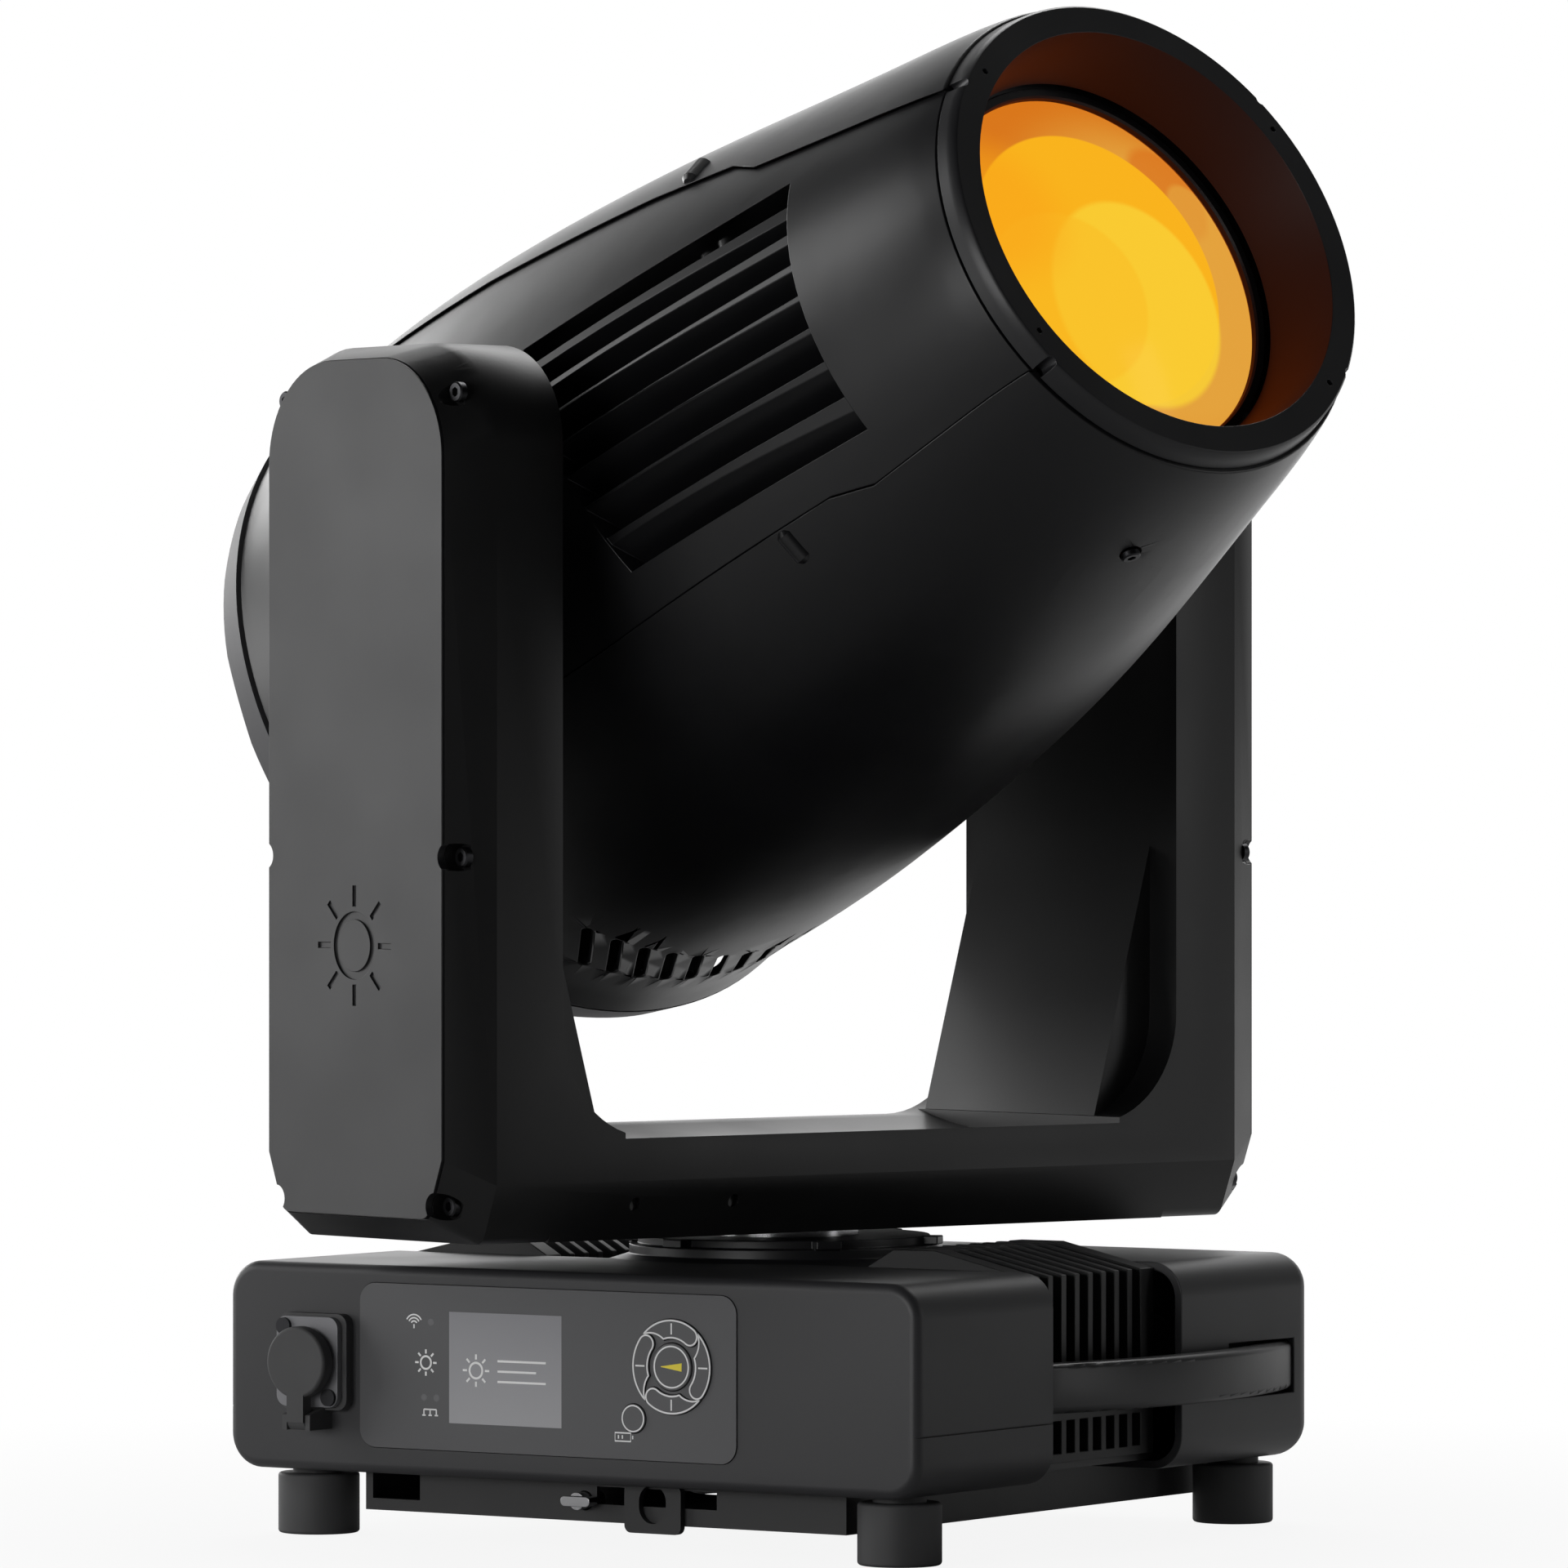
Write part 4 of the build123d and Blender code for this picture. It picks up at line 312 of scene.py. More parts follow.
def amber_glass():
    """Weakly glowing glass whose colours are discs in the head's axes."""
    material, tree = new_material("coated_amber_glass")
    place = add_node(tree, "ShaderNodeTexCoord").outputs["Object"]
    back = HEAD.inverted()
    head = add_node(
        tree,
        "ShaderNodeMapping",
        {
            "Vector": place,
            "Location": back.to_translation() / MM,
            "Rotation": back.to_euler(),
            "Scale": (1 / MM, 1 / MM, 1 / MM),
        },
    )
    split = add_node(tree, "ShaderNodeSeparateXYZ", {0: head.outputs[0]})

    def ring(x, v, radius, soft):
        """1 inside a circle about the point (x, v) of the lens, 0 outside, over a soft edge."""
        flat = add_node(
            tree, "ShaderNodeCombineXYZ", {"X": split.outputs["X"], "Y": split.outputs["Y"]}
        )
        away = add_node(
            tree, "ShaderNodeVectorMath", {0: flat.outputs[0], 1: (x, v, 0.0)}, operation="DISTANCE"
        )
        edge = add_node(
            tree,
            "ShaderNodeMapRange",
            {0: away.outputs["Value"], 1: radius - soft, 2: radius + soft, 3: 1.0, 4: 0.0},
            interpolation_type="SMOOTHSTEP",
        )
        return edge.outputs["Result"]

    def over(base, top, mask, share):
        """Lay colour top over colour base where mask is 1, with the given share."""
        part = add_node(tree, "ShaderNodeMath", {0: mask, 1: share}, operation="MULTIPLY")
        mixed = add_node(
            tree, "ShaderNodeMix", {0: part.outputs[0], 6: base, 7: top}, data_type="RGBA"
        )
        return mixed.outputs[2]

    colour = tint(OUTER_AMBER)
    for zone, x, v, radius, soft, share in GLOW_ZONES:
        colour = over(colour, tint(zone), ring(x, v, radius, soft), share)
    seen = add_node(tree, "ShaderNodeLightPath").outputs["Is Camera Ray"]
    spill = add_node(tree, "ShaderNodeMix", {0: seen, 6: tint(SPILL), 7: colour}, data_type="RGBA")
    surface = add_node(
        tree,
        "ShaderNodeBsdfPrincipled",
        {
            "Base Color": tint(0x2A1605),
            "Roughness": 0.14,
            "IOR": 1.52,
            "Specular IOR Level": 0.06,
            "Emission Color": spill.outputs[2],
            "Emission Strength": GLOW,
        },
    )
    add_node(tree, "ShaderNodeOutputMaterial", {"Surface": surface.outputs[0]})
    return material


finish["amber_glass"] = amber_glass()

# %% [markdown]
# Each CAD node's material slot in the record says which finish it has. The nodes get their
# finish here, and the better pieces made below take theirs from the same table.

# %% Finishes onto the CAD nodes
SHARP = 28  # degrees between two faces from which their edge is shown sharp
FACETED = {"rear_dome": 4}
slot_of = {row["node"]: row["material_slot"] for row in frame["record"]["subparts"]}
for label, node in frame["nodes"].items():
    node.data.materials.clear()
    node.data.materials.append(finish[slot_of[label]])
    node.data.shade_smooth()
    node.data.set_sharp_from_angle(angle=radians(FACETED.get(label, SHARP)))
print("nodes dressed:", len(slot_of))

# %% [markdown]
# Moulded and cast edges are never knife sharp: a small radius catches a line of light. A CAD
# node's mesh stays as it is, so a copy of it is merged, its flat faces are joined, and a Bevel
# modifier rounds its sharp edges. The copy then stands for the node.

# %% Pieces with rounded edges
SAME_SPOT = 0.002  # mm, points closer than this are one
SAME_PLANE = 0.4  # degrees, faces flatter than this to each other are one
EDGE_ANGLE = 34  # degrees between faces from which an edge is rounded


def settle(piece):
    """Turn a piece with modifiers into a plain mesh."""
    evaluated = piece.evaluated_get(bpy.context.evaluated_depsgraph_get())
    mesh = bpy.data.meshes.new_from_object(evaluated)
    piece.modifiers.clear()
    piece.data = mesh


def add_piece(name, mesh, slot=None, material=None):
    """Link a finished mesh as an object and give it its finish."""
    piece = bpy.data.objects.new(name, mesh)
    bpy.context.scene.collection.objects.link(piece)
    mesh.materials.clear()
    mesh.materials.append(material or finish[slot])
    return piece


def rounded(label, radius, flat=True, angle=EDGE_ANGLE, segments=3):
    """Copy of a CAD node with its sharp edges rounded to a radius in mm."""
    source = frame["nodes"][label]
    mesh = source.data.copy()
    if mesh.attributes.get("custom_normal"):
        mesh.attributes.remove(mesh.attributes["custom_normal"])
    work = bmesh.new()
    work.from_mesh(mesh)
    bmesh.ops.remove_doubles(work, verts=work.verts, dist=SAME_SPOT * MM)
    if flat:
        limit = radians(SAME_PLANE)
        bmesh.ops.dissolve_limit(work, angle_limit=limit, verts=work.verts, edges=work.edges)
    work.to_mesh(mesh)
    work.free()
    mesh.shade_smooth()
    mesh.set_sharp_from_angle(angle=radians(angle))
    piece = add_piece(label + "_skin", mesh, slot_of[label])
    bevel = piece.modifiers.new("edge", "BEVEL")
    bevel.width = radius * MM
    bevel.segments = segments
    bevel.limit_method = "ANGLE"
    bevel.angle_limit = radians(angle)
    bevel.harden_normals = True
    bevel.use_clamp_overlap = True
    settle(piece)
    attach(piece, source["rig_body"])
    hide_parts(label)
    return piece


EDGE_RADII = {  # mm
    "front_cover": 0.5,
    "rear_cover": 0.6,
    "carry_handles": 0.5,
    "control_panel": 0.3,
    "underside_frame": 0.4,
    "yoke_frame": 1.2,
    "left_arm_cover": 0.5,
    "right_arm_cover": 0.5,
    "front_bezel": 0.8,
    "front_socket": 0.4,
    "rear_sockets": 0.4,
    "pan_pedestal": 0.5,
    "feet": 0.4,
    "bracket_latch": 0.5,
}
BOWED = {"carry_handles": 60}  # degrees, where the steps of a curve are not edges
for label, radius in EDGE_RADII.items():
    made = rounded(label, radius, angle=BOWED.get(label, EDGE_ANGLE))
    print(made.name, "faces", len(made.data.polygons))

# %% [markdown]
# The fins of the two side heat sinks and the louvres of the head have many thin edges, so their
# copies get a smaller radius. The head's shells are curved, so their faces aren't joined first.

# %% Fins, shells and louvres
FIN_RADIUS, SHELL_RADIUS = 0.4, 0.6  # mm
SHELL_ANGLE = 30
for label in ("left_heatsink", "right_heatsink"):
    rounded(label, FIN_RADIUS, segments=2)
for label in ("top_shell", "bottom_shell", "left_side_panel", "right_side_panel"):
    made = rounded(label, SHELL_RADIUS, flat=False, angle=SHELL_ANGLE, segments=2)
    print(made.name, "faces", len(made.data.polygons))

# %% [markdown]
# A turned piece has one profile all round the beam, like work on a lathe. The profile is a list
# of radius and distance along the beam in mm. A point on the axis becomes a single vertex, so
# the lens has no pinched pole.

# %% Turned pieces
TURNED_SHARP = 35  # degrees between two faces of a turned piece that make a sharp edge
ON_AXIS = 1e-6


def turned(profile, place, steps=128):
    """Mesh of a closed profile turned about the local Z axis of a place."""
    work = bmesh.new()
    rings = []
    for radius, along in profile:
        if radius < ON_AXIS:
            rings.append([work.verts.new((0, 0, along))])
            continue
        angles = [2 * pi * i / steps for i in range(steps)]
        rings.append([work.verts.new((radius * cos(a), radius * sin(a), along)) for a in angles])
    for low, high in zip(rings, rings[1:] + rings[:1]):
        for i in range(steps):
            corners = [low[i % len(low)], low[(i + 1) % len(low)]]
            corners += [high[(i + 1) % len(high)], high[i % len(high)]]
            corners = list(dict.fromkeys(corners))
            if len(corners) > 2:
                work.faces.new(corners)
    bmesh.ops.recalc_face_normals(work, faces=work.faces)
    work.transform(place @ Matrix.Scale(MM, 4))
    mesh = bpy.data.meshes.new("turned")
    work.to_mesh(mesh)
    work.free()
    mesh.shade_smooth()
    mesh.set_sharp_from_angle(angle=radians(TURNED_SHARP))
    return mesh


# %% [markdown]
# The output lens is plano-convex: a spherical crown on a thick edge. Its crown is drawn with
# enough rings that its reflection is smooth. A black retaining ring with a thin chamfer holds it
# in the hood.

# %% Lens and retaining ring
LENS_FACE = 193.0
LENS_CROWN = 12.5
LENS_EDGE = 12.0
CROWN_RINGS = 24
SPHERE = (LENS_RADIUS**2 + LENS_CROWN**2) / (2 * LENS_CROWN)
lens_profile = []
for i in range(CROWN_RINGS + 1):
    r = LENS_RADIUS * i / CROWN_RINGS
    lens_profile.append((r, LENS_FACE - SPHERE + sqrt(SPHERE**2 - r**2)))
lens_back = LENS_FACE - LENS_CROWN - LENS_EDGE
lens_profile += [(LENS_RADIUS, lens_back), (0, lens_back)]
lens = add_piece("output_lens", turned(lens_profile, HEAD), "amber_glass")
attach(lens, "head")
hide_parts("front_lens")
retainer_profile = [(65.4, 181.4), (65.4, 183.4), (66.0, 184.2), (68.6, 184.2)]
retainer_profile += [(69.0, 183.6), (69.0, 182.7), (66.6, 182.7)]
retainer = add_piece("lens_retainer", turned(retainer_profile, HEAD), "handle_plastic")
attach(retainer, "head")
print("lens faces:", len(lens.data.polygons))

# %% [markdown]
# Ribs, pegs and screws are each made once and repeated by a small Geometry Nodes tree: the tree
# puts the piece on every point it is given, turns it by the point's own angles, realizes the
# copies and gives them their material. The result is then made a plain mesh.

# %% Geometry Nodes that repeat a piece


def repeat_tree():
    """Geometry Nodes tree that puts one object on every point of a mesh."""
    tree = bpy.data.node_groups.new("repeat_on_points", "GeometryNodeTree")
    sockets = (("Geometry", "Geometry"), ("Piece", "Object"), ("Material", "Material"))
    for name, kind in sockets:
        tree.interface.new_socket(name, in_out="INPUT", socket_type="NodeSocket" + kind)
    tree.interface.new_socket("Geometry", in_out="OUTPUT", socket_type="NodeSocketGeometry")
    given = add_node(tree, "NodeGroupInput").outputs
    piece = add_node(tree, "GeometryNodeObjectInfo", {"Object": given["Piece"]})
    turn = add_node(
        tree, "GeometryNodeInputNamedAttribute", {"Name": "turn"}, data_type="FLOAT_VECTOR"
    )
    copies = add_node(
        tree,
        "GeometryNodeInstanceOnPoints",
        {
            "Points": given["Geometry"],
            "Instance": piece.outputs["Geometry"],
            "Rotation": turn.outputs[0],
        },
    )
    real = add_node(tree, "GeometryNodeRealizeInstances", {0: copies.outputs[0]})
    painted = add_node(
        tree,
        "GeometryNodeSetMaterial",
        {"Geometry": real.outputs[0], "Material": given["Material"]},
    )
    add_node(tree, "NodeGroupOutput", {"Geometry": painted.outputs[0]})
    return tree


REPEAT = repeat_tree()


def repeated(name, stamp, places, slot):
    """Put a stamp mesh at every place, a list of matrices in the row frame."""
    model = bpy.data.objects.new(name + "_stamp", stamp)
    bpy.context.scene.collection.objects.link(model)
    mesh = bpy.data.meshes.new(name)
    mesh.from_pydata([tuple(p.to_translation()) for p in places], [], [])
    turn = mesh.attributes.new("turn", "FLOAT_VECTOR", "POINT")
    for i, p in enumerate(places):
        turn.data[i].vector = p.to_euler()
    piece = bpy.data.objects.new(name, mesh)
    bpy.context.scene.collection.objects.link(piece)
    made = piece.modifiers.new("repeat", "NODES")
    made.node_group = REPEAT
    ids = {s.name: s.identifier for s in REPEAT.interface.items_tree if s.in_out == "INPUT"}
    made[ids["Piece"]] = model
    made[ids["Material"]] = finish[slot]
    settle(piece)
    piece.data.shade_smooth()
    piece.data.set_sharp_from_angle(angle=radians(TURNED_SHARP))
    bpy.data.objects.remove(model)
    print(name, "copies", len(places), "faces", len(piece.data.polygons))
    return piece


# %% [markdown]
# Behind the slats of each louvre runs an air slot, and two round ribs stand in it. Both are one
# rounded rod, upright in the head's axes.

# %% Ribs in the air slots
RIB_X, RIB_UP = 86, 4  # mm from the beam's axis
RIB_SPOTS = (93.5, 103.5)  # mm along the beam
rib_profile = [(0, -46), (2.6, -46), (3.2, -45.2), (3.2, 45.2), (2.6, 46), (0, 46)]
rib = turned(rib_profile, BASE, 24)
UPRIGHT = Matrix.Rotation(-pi / 2, 4, "X")
rib_places = []
for side in (-1, 1):
    for along in RIB_SPOTS:
        spot = Vector((side * RIB_X, RIB_UP, along))
        rib_places.append(HEAD @ Matrix.Translation(spot * MM) @ UPRIGHT)
ribs = repeated("air_slot_ribs", rib, rib_places, "cast_paint")
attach(ribs, "head")

# %% [markdown]
# Small half-round pegs cross the seams where the upper and lower shells hook onto the side
# panels. They lie on the shell, so each one's place is worked out from the shell's radius there.

# %% Pegs across the seams
PEG_SPOTS = ((97, 110.0, -55, -68), (80, 113.4, 83, 93))  # along, shell radius, UP of both ends
SHELL_CENTRE = -1.2  # mm along UP, centre of the shell's section at the pegs
PEG_SUNK = 1.9  # mm, peg's axis below the shell's face
peg_profile = [(0, -7), (2.2, -6.6), (3.6, -5), (3.6, 5), (2.2, 6.6), (0, 7)]
peg = turned(peg_profile, BASE, 28)
peg_places = []
for along, radius, near, far in PEG_SPOTS:
    for side in (-1, 1):
        ends = []
        for v in (near, far):
            out = sqrt(radius**2 - (v - SHELL_CENTRE) ** 2) - PEG_SUNK
            ends.append(Vector((side * out, v, along)))
        spot = (ends[0] + ends[1]) / 2
        turn = (ends[1] - ends[0]).to_track_quat("Z", "Y").to_matrix().to_4x4()
        peg_places.append(HEAD @ Matrix.Translation(spot * MM) @ turn)
pegs = repeated("seam_pegs", peg, peg_places, "shell_plastic")
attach(pegs, "head")

# %% [markdown]
# A socket head screw is one turned head with a hexagon sunk in it. Six stand in the pockets of
# each arm, one holds the lower shell, and four tiny ones hold the front ring. The hexagon is
# modelled, because a dark dot reads as a hole only when light falls into it.

# %% Screw heads
SCREW_STEPS = 36
CHAMFER_HEIGHT, CHAMFER_RADIUS = 0.15, 0.87  # shares of the head's radius


def screw_head(radius, height, hexagon, sunk):
    """Cap screw: a chamfered cap with a hexagon pressed into its top."""
    work = bmesh.new()
    angles = [2 * pi * i / SCREW_STEPS for i in range(SCREW_STEPS)]
    six_sided = [hexagon * cos(pi / 6) / cos((a % (pi / 3)) - pi / 6) for a in angles]
    levels = (
        ([radius] * SCREW_STEPS, 0),
        ([radius] * SCREW_STEPS, height - CHAMFER_HEIGHT * radius),
        ([radius * CHAMFER_RADIUS] * SCREW_STEPS, height),
        (six_sided, height),
        (six_sided, height - sunk),
    )
    loops = []
    for radii, z in levels:
        points = [(r * cos(a), r * sin(a), z) for r, a in zip(radii, angles)]
        loops.append([work.verts.new(point) for point in points])
    for low, high in zip(loops, loops[1:]):
        for i in range(SCREW_STEPS):
            j = (i + 1) % SCREW_STEPS
            work.faces.new((low[i], low[j], high[j], high[i]))
    work.faces.new(loops[-1])
    work.faces.new(list(reversed(loops[0])))
    work.transform(Matrix.Scale(MM, 4))
    mesh = bpy.data.meshes.new("screw_head")
    work.to_mesh(mesh)
    work.free()
    return mesh


# %% [markdown]
# The screws stand on the floors of their pockets, and each kind has its own size. Places on the
# arms are across and up the arm in mm, and places on the head are in the head's axes.

# %% Screws in their places
ARM_SPOTS = ((-41.5, 380), (53.5, 380), (-44.5, 225), (56.5, 225), (-38, 108.5), (50, 108.5))
ARM_OUTER = 183.2
POCKET_DEPTH = 9.0
SEATED = 0.1  # mm, how far a screw stands off its pocket's floor
arm_places = []
for side in (-1, 1):
    facing = Matrix.Rotation(side * pi / 2, 4, "Y")
    for y, z in ARM_SPOTS:
        spot = Vector((side * (ARM_OUTER - POCKET_DEPTH + SEATED), y, z))
        arm_places.append(YOKE @ Matrix.Translation(spot * MM) @ facing)
arm_heads = repeated("arm_cap_screws", screw_head(3.4, 2.8, 1.7, 1.8), arm_places, "black_screw")
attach(arm_heads, "yoke")
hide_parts("arm_screws")

DOWN = Matrix.Rotation(pi / 2, 4, "X")
SHELL_SPOT = Vector((-9, -96.5, 165.4))
shell_place = HEAD @ Matrix.Translation(SHELL_SPOT * MM) @ DOWN
shell_head = repeated("shell_screw", screw_head(3.2, 2.0, 1.6, 1.4), [shell_place], "black_screw")
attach(shell_head, "head")

RIM_ANGLES = (31, 135, 211, 315)
RIM_CIRCLE, RIM_SEAT = 79, 211.6  # mm from the beam's axis and along it
rim_places = []
for a in (radians(angle) for angle in RIM_ANGLES):
    spot = Vector((RIM_CIRCLE * cos(a), RIM_CIRCLE * sin(a), RIM_SEAT))
    rim_places.append(HEAD @ Matrix.Translation(spot * MM))
rim_heads = repeated("rim_screws", screw_head(1.05, 1.6, 0.5, 0.6), rim_places, "black_screw")
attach(rim_heads, "head")

# %% [markdown]
# The panel's print is white ink, a few hundredths of a millimetre thick. A ribbon follows a line
# of points on the panel and has a real width, so a printed line is a small mesh. Points are x
# and z in mm on the base's front.

# %% Printed lines
PANEL_Y = 133.1  # mm, pan axis to the panel's face
KEY_Y = 133.7  # and to the keys' faces
INK = 0.06  # mm, thickness of the ink
KEY_LINE = 0.55  # mm, width of a line on a key


def ribbon(lines, width, depth_y):
    """Mesh of flat printed lines. Each line is (points, closed)."""
    work = bmesh.new()
    for points, closed in lines:
        count = len(points)
        last = count - 1
        left, right = [], []
        for i, (x, z) in enumerate(points):
            ahead = points[(i + 1) % count] if closed or i < last else points[i]
            behind = points[i - 1] if closed or i > 0 else points[i]
            way = Vector((ahead[0] - behind[0], ahead[1] - behind[1])).normalized()
            side = Vector((-way.y, way.x)) * width / 2
            left.append(work.verts.new((x + side.x, -depth_y - INK, z + side.y)))
            right.append(work.verts.new((x - side.x, -depth_y - INK, z - side.y)))
        for i in range(count if closed else last):
            j = (i + 1) % count
            work.faces.new((left[i], right[i], right[j], left[j]))
    work.normal_update()
    bmesh.ops.solidify(work, geom=work.faces, thickness=INK)
    bmesh.ops.recalc_face_normals(work, faces=work.faces)
    work.transform(Matrix.Scale(MM, 4))
    mesh = bpy.data.meshes.new("print")
    work.to_mesh(mesh)
    work.free()
    return mesh


def arc(cx, cz, radius, start, end, steps):
    """Points on a circle from one angle to another, in degrees."""
    angles = [radians(start + (end - start) * i / steps) for i in range(steps + 1)]
    return [(cx + radius * cos(a), cz + radius * sin(a)) for a in angles]


def circle(cx, cz, radius):
    """Closed line round a point."""
    return arc(cx, cz, radius, 0, 360, 64)[:-1], True


printed = []


def print_on(body, name, lines, width, depth_y, material=white_print):
    """Add printed lines as a piece that rides on a body."""
    piece = add_piece(name, ribbon(lines, width, depth_y), material=material)
    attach(piece, body)
    printed.append(name)
    return piece


# %% [markdown]
# The four navigation keys are petals that swirl round the centre key: each has a round end and a
# sharp tip. A white line follows every petal just inside its edge, and a tick marks its middle.
# The lines ride on their keys, so a pressed key takes its print along.

# %% Petal outlines and ticks
NAV = (44.3, 54.6)
NAV_RADIUS = 16.0
PETAL_INNER = 9.4
BLUNT, TIP, WAIST, HEEL = 36, 48, 31, 20  # degrees from a petal's middle to its four turns
PRINT_INSET = 0.45  # mm, petal's edge to the middle of its line
TICK = (10.9, 14.6)  # mm from the cluster's centre to the ends of a tick
NAV_KEYS = (
    ("nav_right_key", 0),
    ("nav_up_key", 90),
    ("nav_left_key", 180),
    ("nav_down_key", 270),
)


def through(a, b, c, steps=14):
    """Points on the circle through three points, from a to c."""
    ax, az, bx, bz, cx, cz = *a, *b, *c
    d = 2 * (ax * (bz - cz) + bx * (cz - az) + cx * (az - bz))
    aa, bb, cc = ax**2 + az**2, bx**2 + bz**2, cx**2 + cz**2
    ux = (aa * (bz - cz) + bb * (cz - az) + cc * (az - bz)) / d
    uz = (aa * (cx - bx) + bb * (ax - cx) + cc * (bx - ax)) / d
    centre = Vector((ux, uz))
    start, middle, end = (Vector(p) - centre for p in (a, b, c))
    full = start.angle_signed(end)
    half = start.angle_signed(middle)
    if (full > 0) != (half > 0):
        full += 2 * pi if full < 0 else -2 * pi
    points = []
    for i in range(steps + 1):
        c, s = cos(-full * i / steps), sin(-full * i / steps)
        points.append((ux + start.x * c - start.y * s, uz + start.x * s + start.y * c))
    return points


def petal(angle, inset):
    """Outline of one petal key, moved inwards by an inset."""
    outer, inner = NAV_RADIUS - inset, PETAL_INNER + inset
    middle, round_end = (NAV_RADIUS + PETAL_INNER) / 2, (NAV_RADIUS - PETAL_INNER) / 2 - inset
    blunt, tip = angle - BLUNT, angle + TIP - 3.4 * inset
    heel, waist = angle + HEEL - 2 * inset, angle + WAIST - 4 * inset

    def at(radius, degrees):
        """Point of the cluster in polar form."""
        return radius * cos(radians(degrees)), radius * sin(radians(degrees))

    centre = at(middle, blunt)
    far = at(round_end, blunt - 90)
    line = arc(0, 0, outer, tip, blunt, 30)
    end = (centre[0] + far[0], centre[1] + far[1])
    line += through(at(outer, blunt), end, at(inner, blunt))[1:]
    line += arc(0, 0, inner, blunt, heel, 20)[1:]
    line += through(at(inner, heel), at(middle - 0.3, waist), at(outer, tip))[1:-1]
    return [(NAV[0] + x, NAV[1] + z) for x, z in line]


for label, angle in NAV_KEYS:
    a = radians(angle)
    tick = [(NAV[0] + r * cos(a), NAV[1] + r * sin(a)) for r in TICK]
    lines = [(petal(angle, PRINT_INSET), True), (tick, False)]
    print_on(label, label.replace("_key", "_print"), lines, KEY_LINE, KEY_Y)

# %% [markdown]
# The centre key has a ring and a yellow wedge, and the battery key only a ring. The small signs
# on the panel are generic: radio waves, a network, a battery, and a lamp with its rays on the
# display, above three plain bars that stand for menu lines.

# %% Rings, wedge and small signs
ENTER_RING = 6.9
WEDGE_LENGTH, WEDGE_STEPS = 8.4, 21
WEDGE_LINE, WEDGE_TIP, WEDGE_SPREAD = 0.4, 0.5, 6.5  # mm, then shares of the line's width
BATTERY = (28.7, 36.8)
BATTERY_RING = 4.35
print_on("enter_key", "enter_print", [circle(*NAV, ENTER_RING)], KEY_LINE, KEY_Y)
wedge_start = NAV[0] - WEDGE_LENGTH / 2
wedge_step = WEDGE_LENGTH / WEDGE_STEPS
wedge_line = [(wedge_start + wedge_step * i, NAV[1]) for i in range(WEDGE_STEPS + 1)]
wedge = print_on(
    "enter_key", "enter_wedge", [(wedge_line, False)], WEDGE_LINE, KEY_Y, material=yellow_print
)
for vertex in wedge.data.vertices:
    share = (vertex.co.x / MM - wedge_start) / WEDGE_LENGTH
    spread = WEDGE_TIP + WEDGE_SPREAD * share
    vertex.co.z = (NAV[1] + (vertex.co.z / MM - NAV[1]) * spread) * MM
print_on("battery_key", "battery_print", [circle(*BATTERY, BATTERY_RING)], 0.5, KEY_Y)


def bar(x, z, length):
    """Level stroke centred on a point."""
    return [(x - length / 2, z), (x + length / 2, z)], False


def stroke(x, low, high):
    """Upright stroke."""
    return [(x, low), (x, high)], False


WAVES = (-62.5, 65.2)
NETWORK_LEGS = (-58.3, -55.7, -53.1)
NETWORK_FEET, NETWORK_TOP = 34.6, 36.6
BATTERY_SIGN = (21.0, 27.4, 29.0, 31.8)  # left, right, bottom, top
left, right, bottom, top = BATTERY_SIGN
signs = [(arc(*WAVES, radius, 30, 150, 16), False) for radius in (1.3, 2.4, 3.5)]
signs.append(stroke(WAVES[0], 64.0, 65.4))
signs += [bar(x, NETWORK_FEET, 1.4) for x in NETWORK_LEGS]
signs.append(([(NETWORK_LEGS[0], NETWORK_TOP), (NETWORK_LEGS[-1], NETWORK_TOP)], False))
signs += [stroke(x, NETWORK_FEET + 0.3, NETWORK_TOP) for x in NETWORK_LEGS]
signs.append(([(left, bottom), (right, bottom), (right, top), (left, top)], True))
signs += [stroke(x, 29.8, 31.0) for x in (28.2, 22.4, 24.0)]
print_on("base", "panel_signs", signs, 0.5, PANEL_Y)


def lamp_sign(x, z, size):
    """Lamp with eight rays: the generic sign for a light."""
    lines = [circle(x, z, 0.24 * size)]
    for a in (radians(45 * i) for i in range(8)):
        lines.append(([(x + r * size * cos(a), z + r * size * sin(a)) for r in (0.34, 0.5)], False))
    return lines


MENU_LEFT = -27.5
MENU_LINES = ((54.0, 20), (50.5, 16), (47.0, 20))  # height and length
screen = lamp_sign(-36.5, 50.5, 11)
screen += [bar(MENU_LEFT + length / 2, z, length) for z, length in MENU_LINES]
print_on("base", "display_picture", screen, 0.75, PANEL_Y)
print_on("base", "panel_lamp_sign", lamp_sign(-57.5, 52.5, 9), 0.7, PANEL_Y)
print("printed pieces:", len(printed))

# %% [markdown]
# The light stands on a plain pale floor with almost no gloss. The camera sees it nearly white,
# and whitest away from the light. In reflections only its far part is bright, so it lights the
# edges of the head's belly and leaves the near faces dark, as a lit studio sweep does.

# %% Floor
FLOOR_Z = cad_box[0].z
REACH = 9.0  # metres, half the floor's side
floor_mesh = bpy.data.meshes.new("floor")
corners = [(x * REACH, y * REACH, FLOOR_Z) for x, y in ((-1, -1), (1, -1), (1, 1), (-1, 1))]
floor_mesh.from_pydata(corners, [], [(0, 1, 2, 3)])
floor = bpy.data.objects.new("studio_floor", floor_mesh)
bpy.context.scene.collection.objects.link(floor)
FAR_SIDE = (-0.557, 0.831, 0.0)  # the lit sweep stands behind the object, away from the camera
FLOOR_GLOW = 0.7  # share of the far floor's own light in what the object reflects


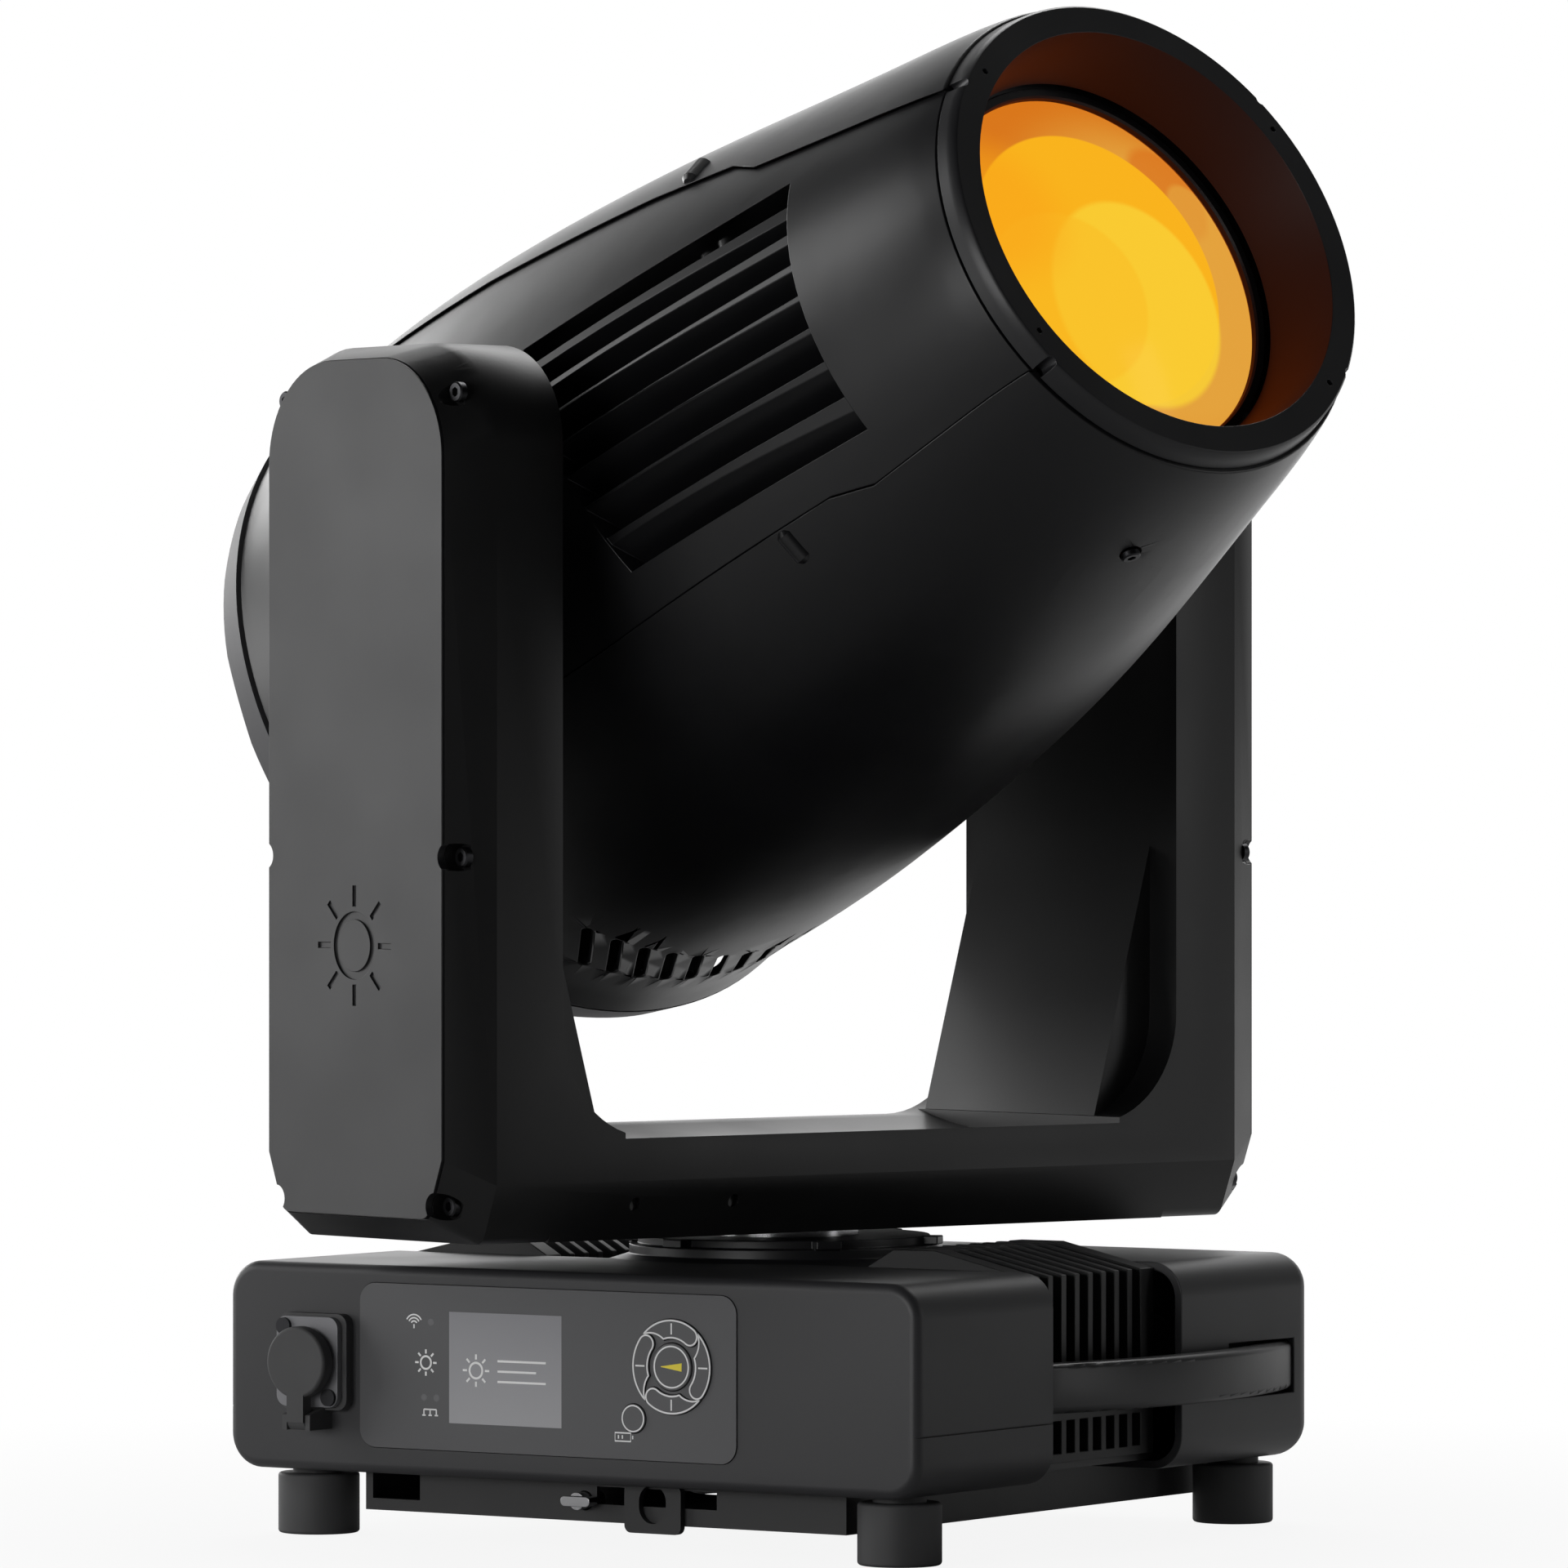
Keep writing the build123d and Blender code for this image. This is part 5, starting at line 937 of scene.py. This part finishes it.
def pale_floor():
    """Pale board that the camera sees almost without shade."""
    material = skin("pale_studio_floor", 0xC0C0C0, 0.9, grain=4.0)
    tree = material.node_tree
    output = find_node(tree, "OUTPUT_MATERIAL")
    surface = find_node(tree, "BSDF_PRINCIPLED")
    place = find_node(tree, "TEX_COORD").outputs["Object"]
    glow = add_node(tree, "ShaderNodeEmission", {"Color": (1, 1, 1, 1), "Strength": 1.0})
    seen = add_node(tree, "ShaderNodeLightPath").outputs["Is Camera Ray"]
    away = add_node(tree, "ShaderNodeVectorMath", {0: place}, operation="LENGTH")
    white = add_node(
        tree, "ShaderNodeMapRange", {0: away.outputs["Value"], 1: 0.2, 2: 0.6, 3: 0.9, 4: 1.0}
    )
    behind = add_node(
        tree, "ShaderNodeVectorMath", {0: place, 1: FAR_SIDE}, operation="DOT_PRODUCT"
    )
    bounce = add_node(
        tree,
        "ShaderNodeMapRange",
        {0: behind.outputs["Value"], 1: -0.1, 2: 0.8, 3: 0.0, 4: FLOOR_GLOW},
    )
    share = add_node(tree, "ShaderNodeMix", {0: seen, 2: bounce.outputs[0], 3: white.outputs[0]})
    mixed = add_node(
        tree,
        "ShaderNodeMixShader",
        {0: share.outputs[0], 1: surface.outputs[0], 2: glow.outputs[0]},
    )
    tree.links.new(mixed.outputs[0], output.inputs["Surface"])
    return material


floor_mesh.materials.append(pale_floor())

# %% [markdown]
# A dark object is lit by what it reflects. Large soft lamps stand to its left, behind it and
# above it, and a weaker one lights the front of the base. The camera sees a white backdrop,
# while the surround that the object reflects is bright only on the far side.

# %% Studio light
NEAR_DIM, FAR_BRIGHT = 0.015, 0.8
world = bpy.data.worlds.new("studio")
bpy.context.scene.world = world
world.use_nodes = True
sky = world.node_tree
sky.nodes.clear()
seen = add_node(sky, "ShaderNodeLightPath")
backdrop = add_node(sky, "ShaderNodeBackground", {"Color": (1, 1, 1, 1), "Strength": 1.0})
toward = add_node(sky, "ShaderNodeTexCoord").outputs["Generated"]
behind = add_node(sky, "ShaderNodeVectorMath", {0: toward, 1: FAR_SIDE}, operation="DOT_PRODUCT")
strength = add_node(
    sky,
    "ShaderNodeMapRange",
    {0: behind.outputs["Value"], 1: 0.45, 2: 0.95, 3: NEAR_DIM, 4: FAR_BRIGHT},
    interpolation_type="SMOOTHSTEP",
)
surround = add_node(
    sky, "ShaderNodeBackground", {"Color": (1, 1, 1, 1), "Strength": strength.outputs[0]}
)
mixed = add_node(
    sky,
    "ShaderNodeMixShader",
    {0: seen.outputs["Is Camera Ray"], 1: surround.outputs[0], 2: backdrop.outputs[0]},
)
add_node(sky, "ShaderNodeOutputWorld", {"Surface": mixed.outputs[0]})


LAMPS = (  # name, spot, what it is aimed at, width, height, watts
    ("left_panel", (-2.4, -1.2, 0.9), (0, 0, 0.25), 1.4, 1.8, 30),
    ("back_wall", (-1.9, 2.6, 0.75), (0, 0, 0.35), 3.4, 1.5, 20),
    ("rear_panel", (-2.8, 0.9, 0.9), (-0.1, 0, 0.35), 1.4, 1.4, 30),
    ("top_panel", (-0.4, 1.5, 2.2), (0, 0, 0.3), 2.0, 1.0, 30),
    ("right_strip", (2.6, 1.3, 0.7), (0.1, 0, 0.3), 0.5, 1.8, 6),
    ("front_fill", (-0.3, -3.2, 0.5), (0, 0, 0.05), 1.8, 0.8, 30),
)


def aim(thing, spot, target):
    """Put a lamp or a camera at a spot and point it at a target."""
    thing.location = spot
    way = Vector(target) - Vector(spot)
    thing.rotation_euler = way.to_track_quat("-Z", "Y").to_euler()


for name, spot, target, width, height, watts in LAMPS:
    lamp = bpy.data.lights.new(name, "AREA")
    lamp.shape = "RECTANGLE"
    lamp.size, lamp.size_y, lamp.energy = width, height, watts
    made = bpy.data.objects.new(name, lamp)
    bpy.context.scene.collection.objects.link(made)
    aim(made, spot, target)
    made.visible_camera = False
print("lamps:", len(LAMPS))

# %% [markdown]
# The camera stands low and level, three metres away, and looks at the pan axis with a long
# lens, so upright edges stay upright.

# %% Camera
CAMERA_SPOT = Vector((1.7716, -2.6423, 0.2494))
camera_data = bpy.data.cameras.new("camera")
camera_data.sensor_width = 36.0  # mm, and so is the lens
camera_data.lens = 209.3
camera_data.clip_end = 100.0
camera = bpy.data.objects.new("camera", camera_data)
bpy.context.scene.collection.objects.link(camera)
aim(camera, CAMERA_SPOT, (0, 0, CAMERA_SPOT.z))
bpy.context.scene.camera = camera
bpy.context.scene.view_settings.view_transform = "Standard"
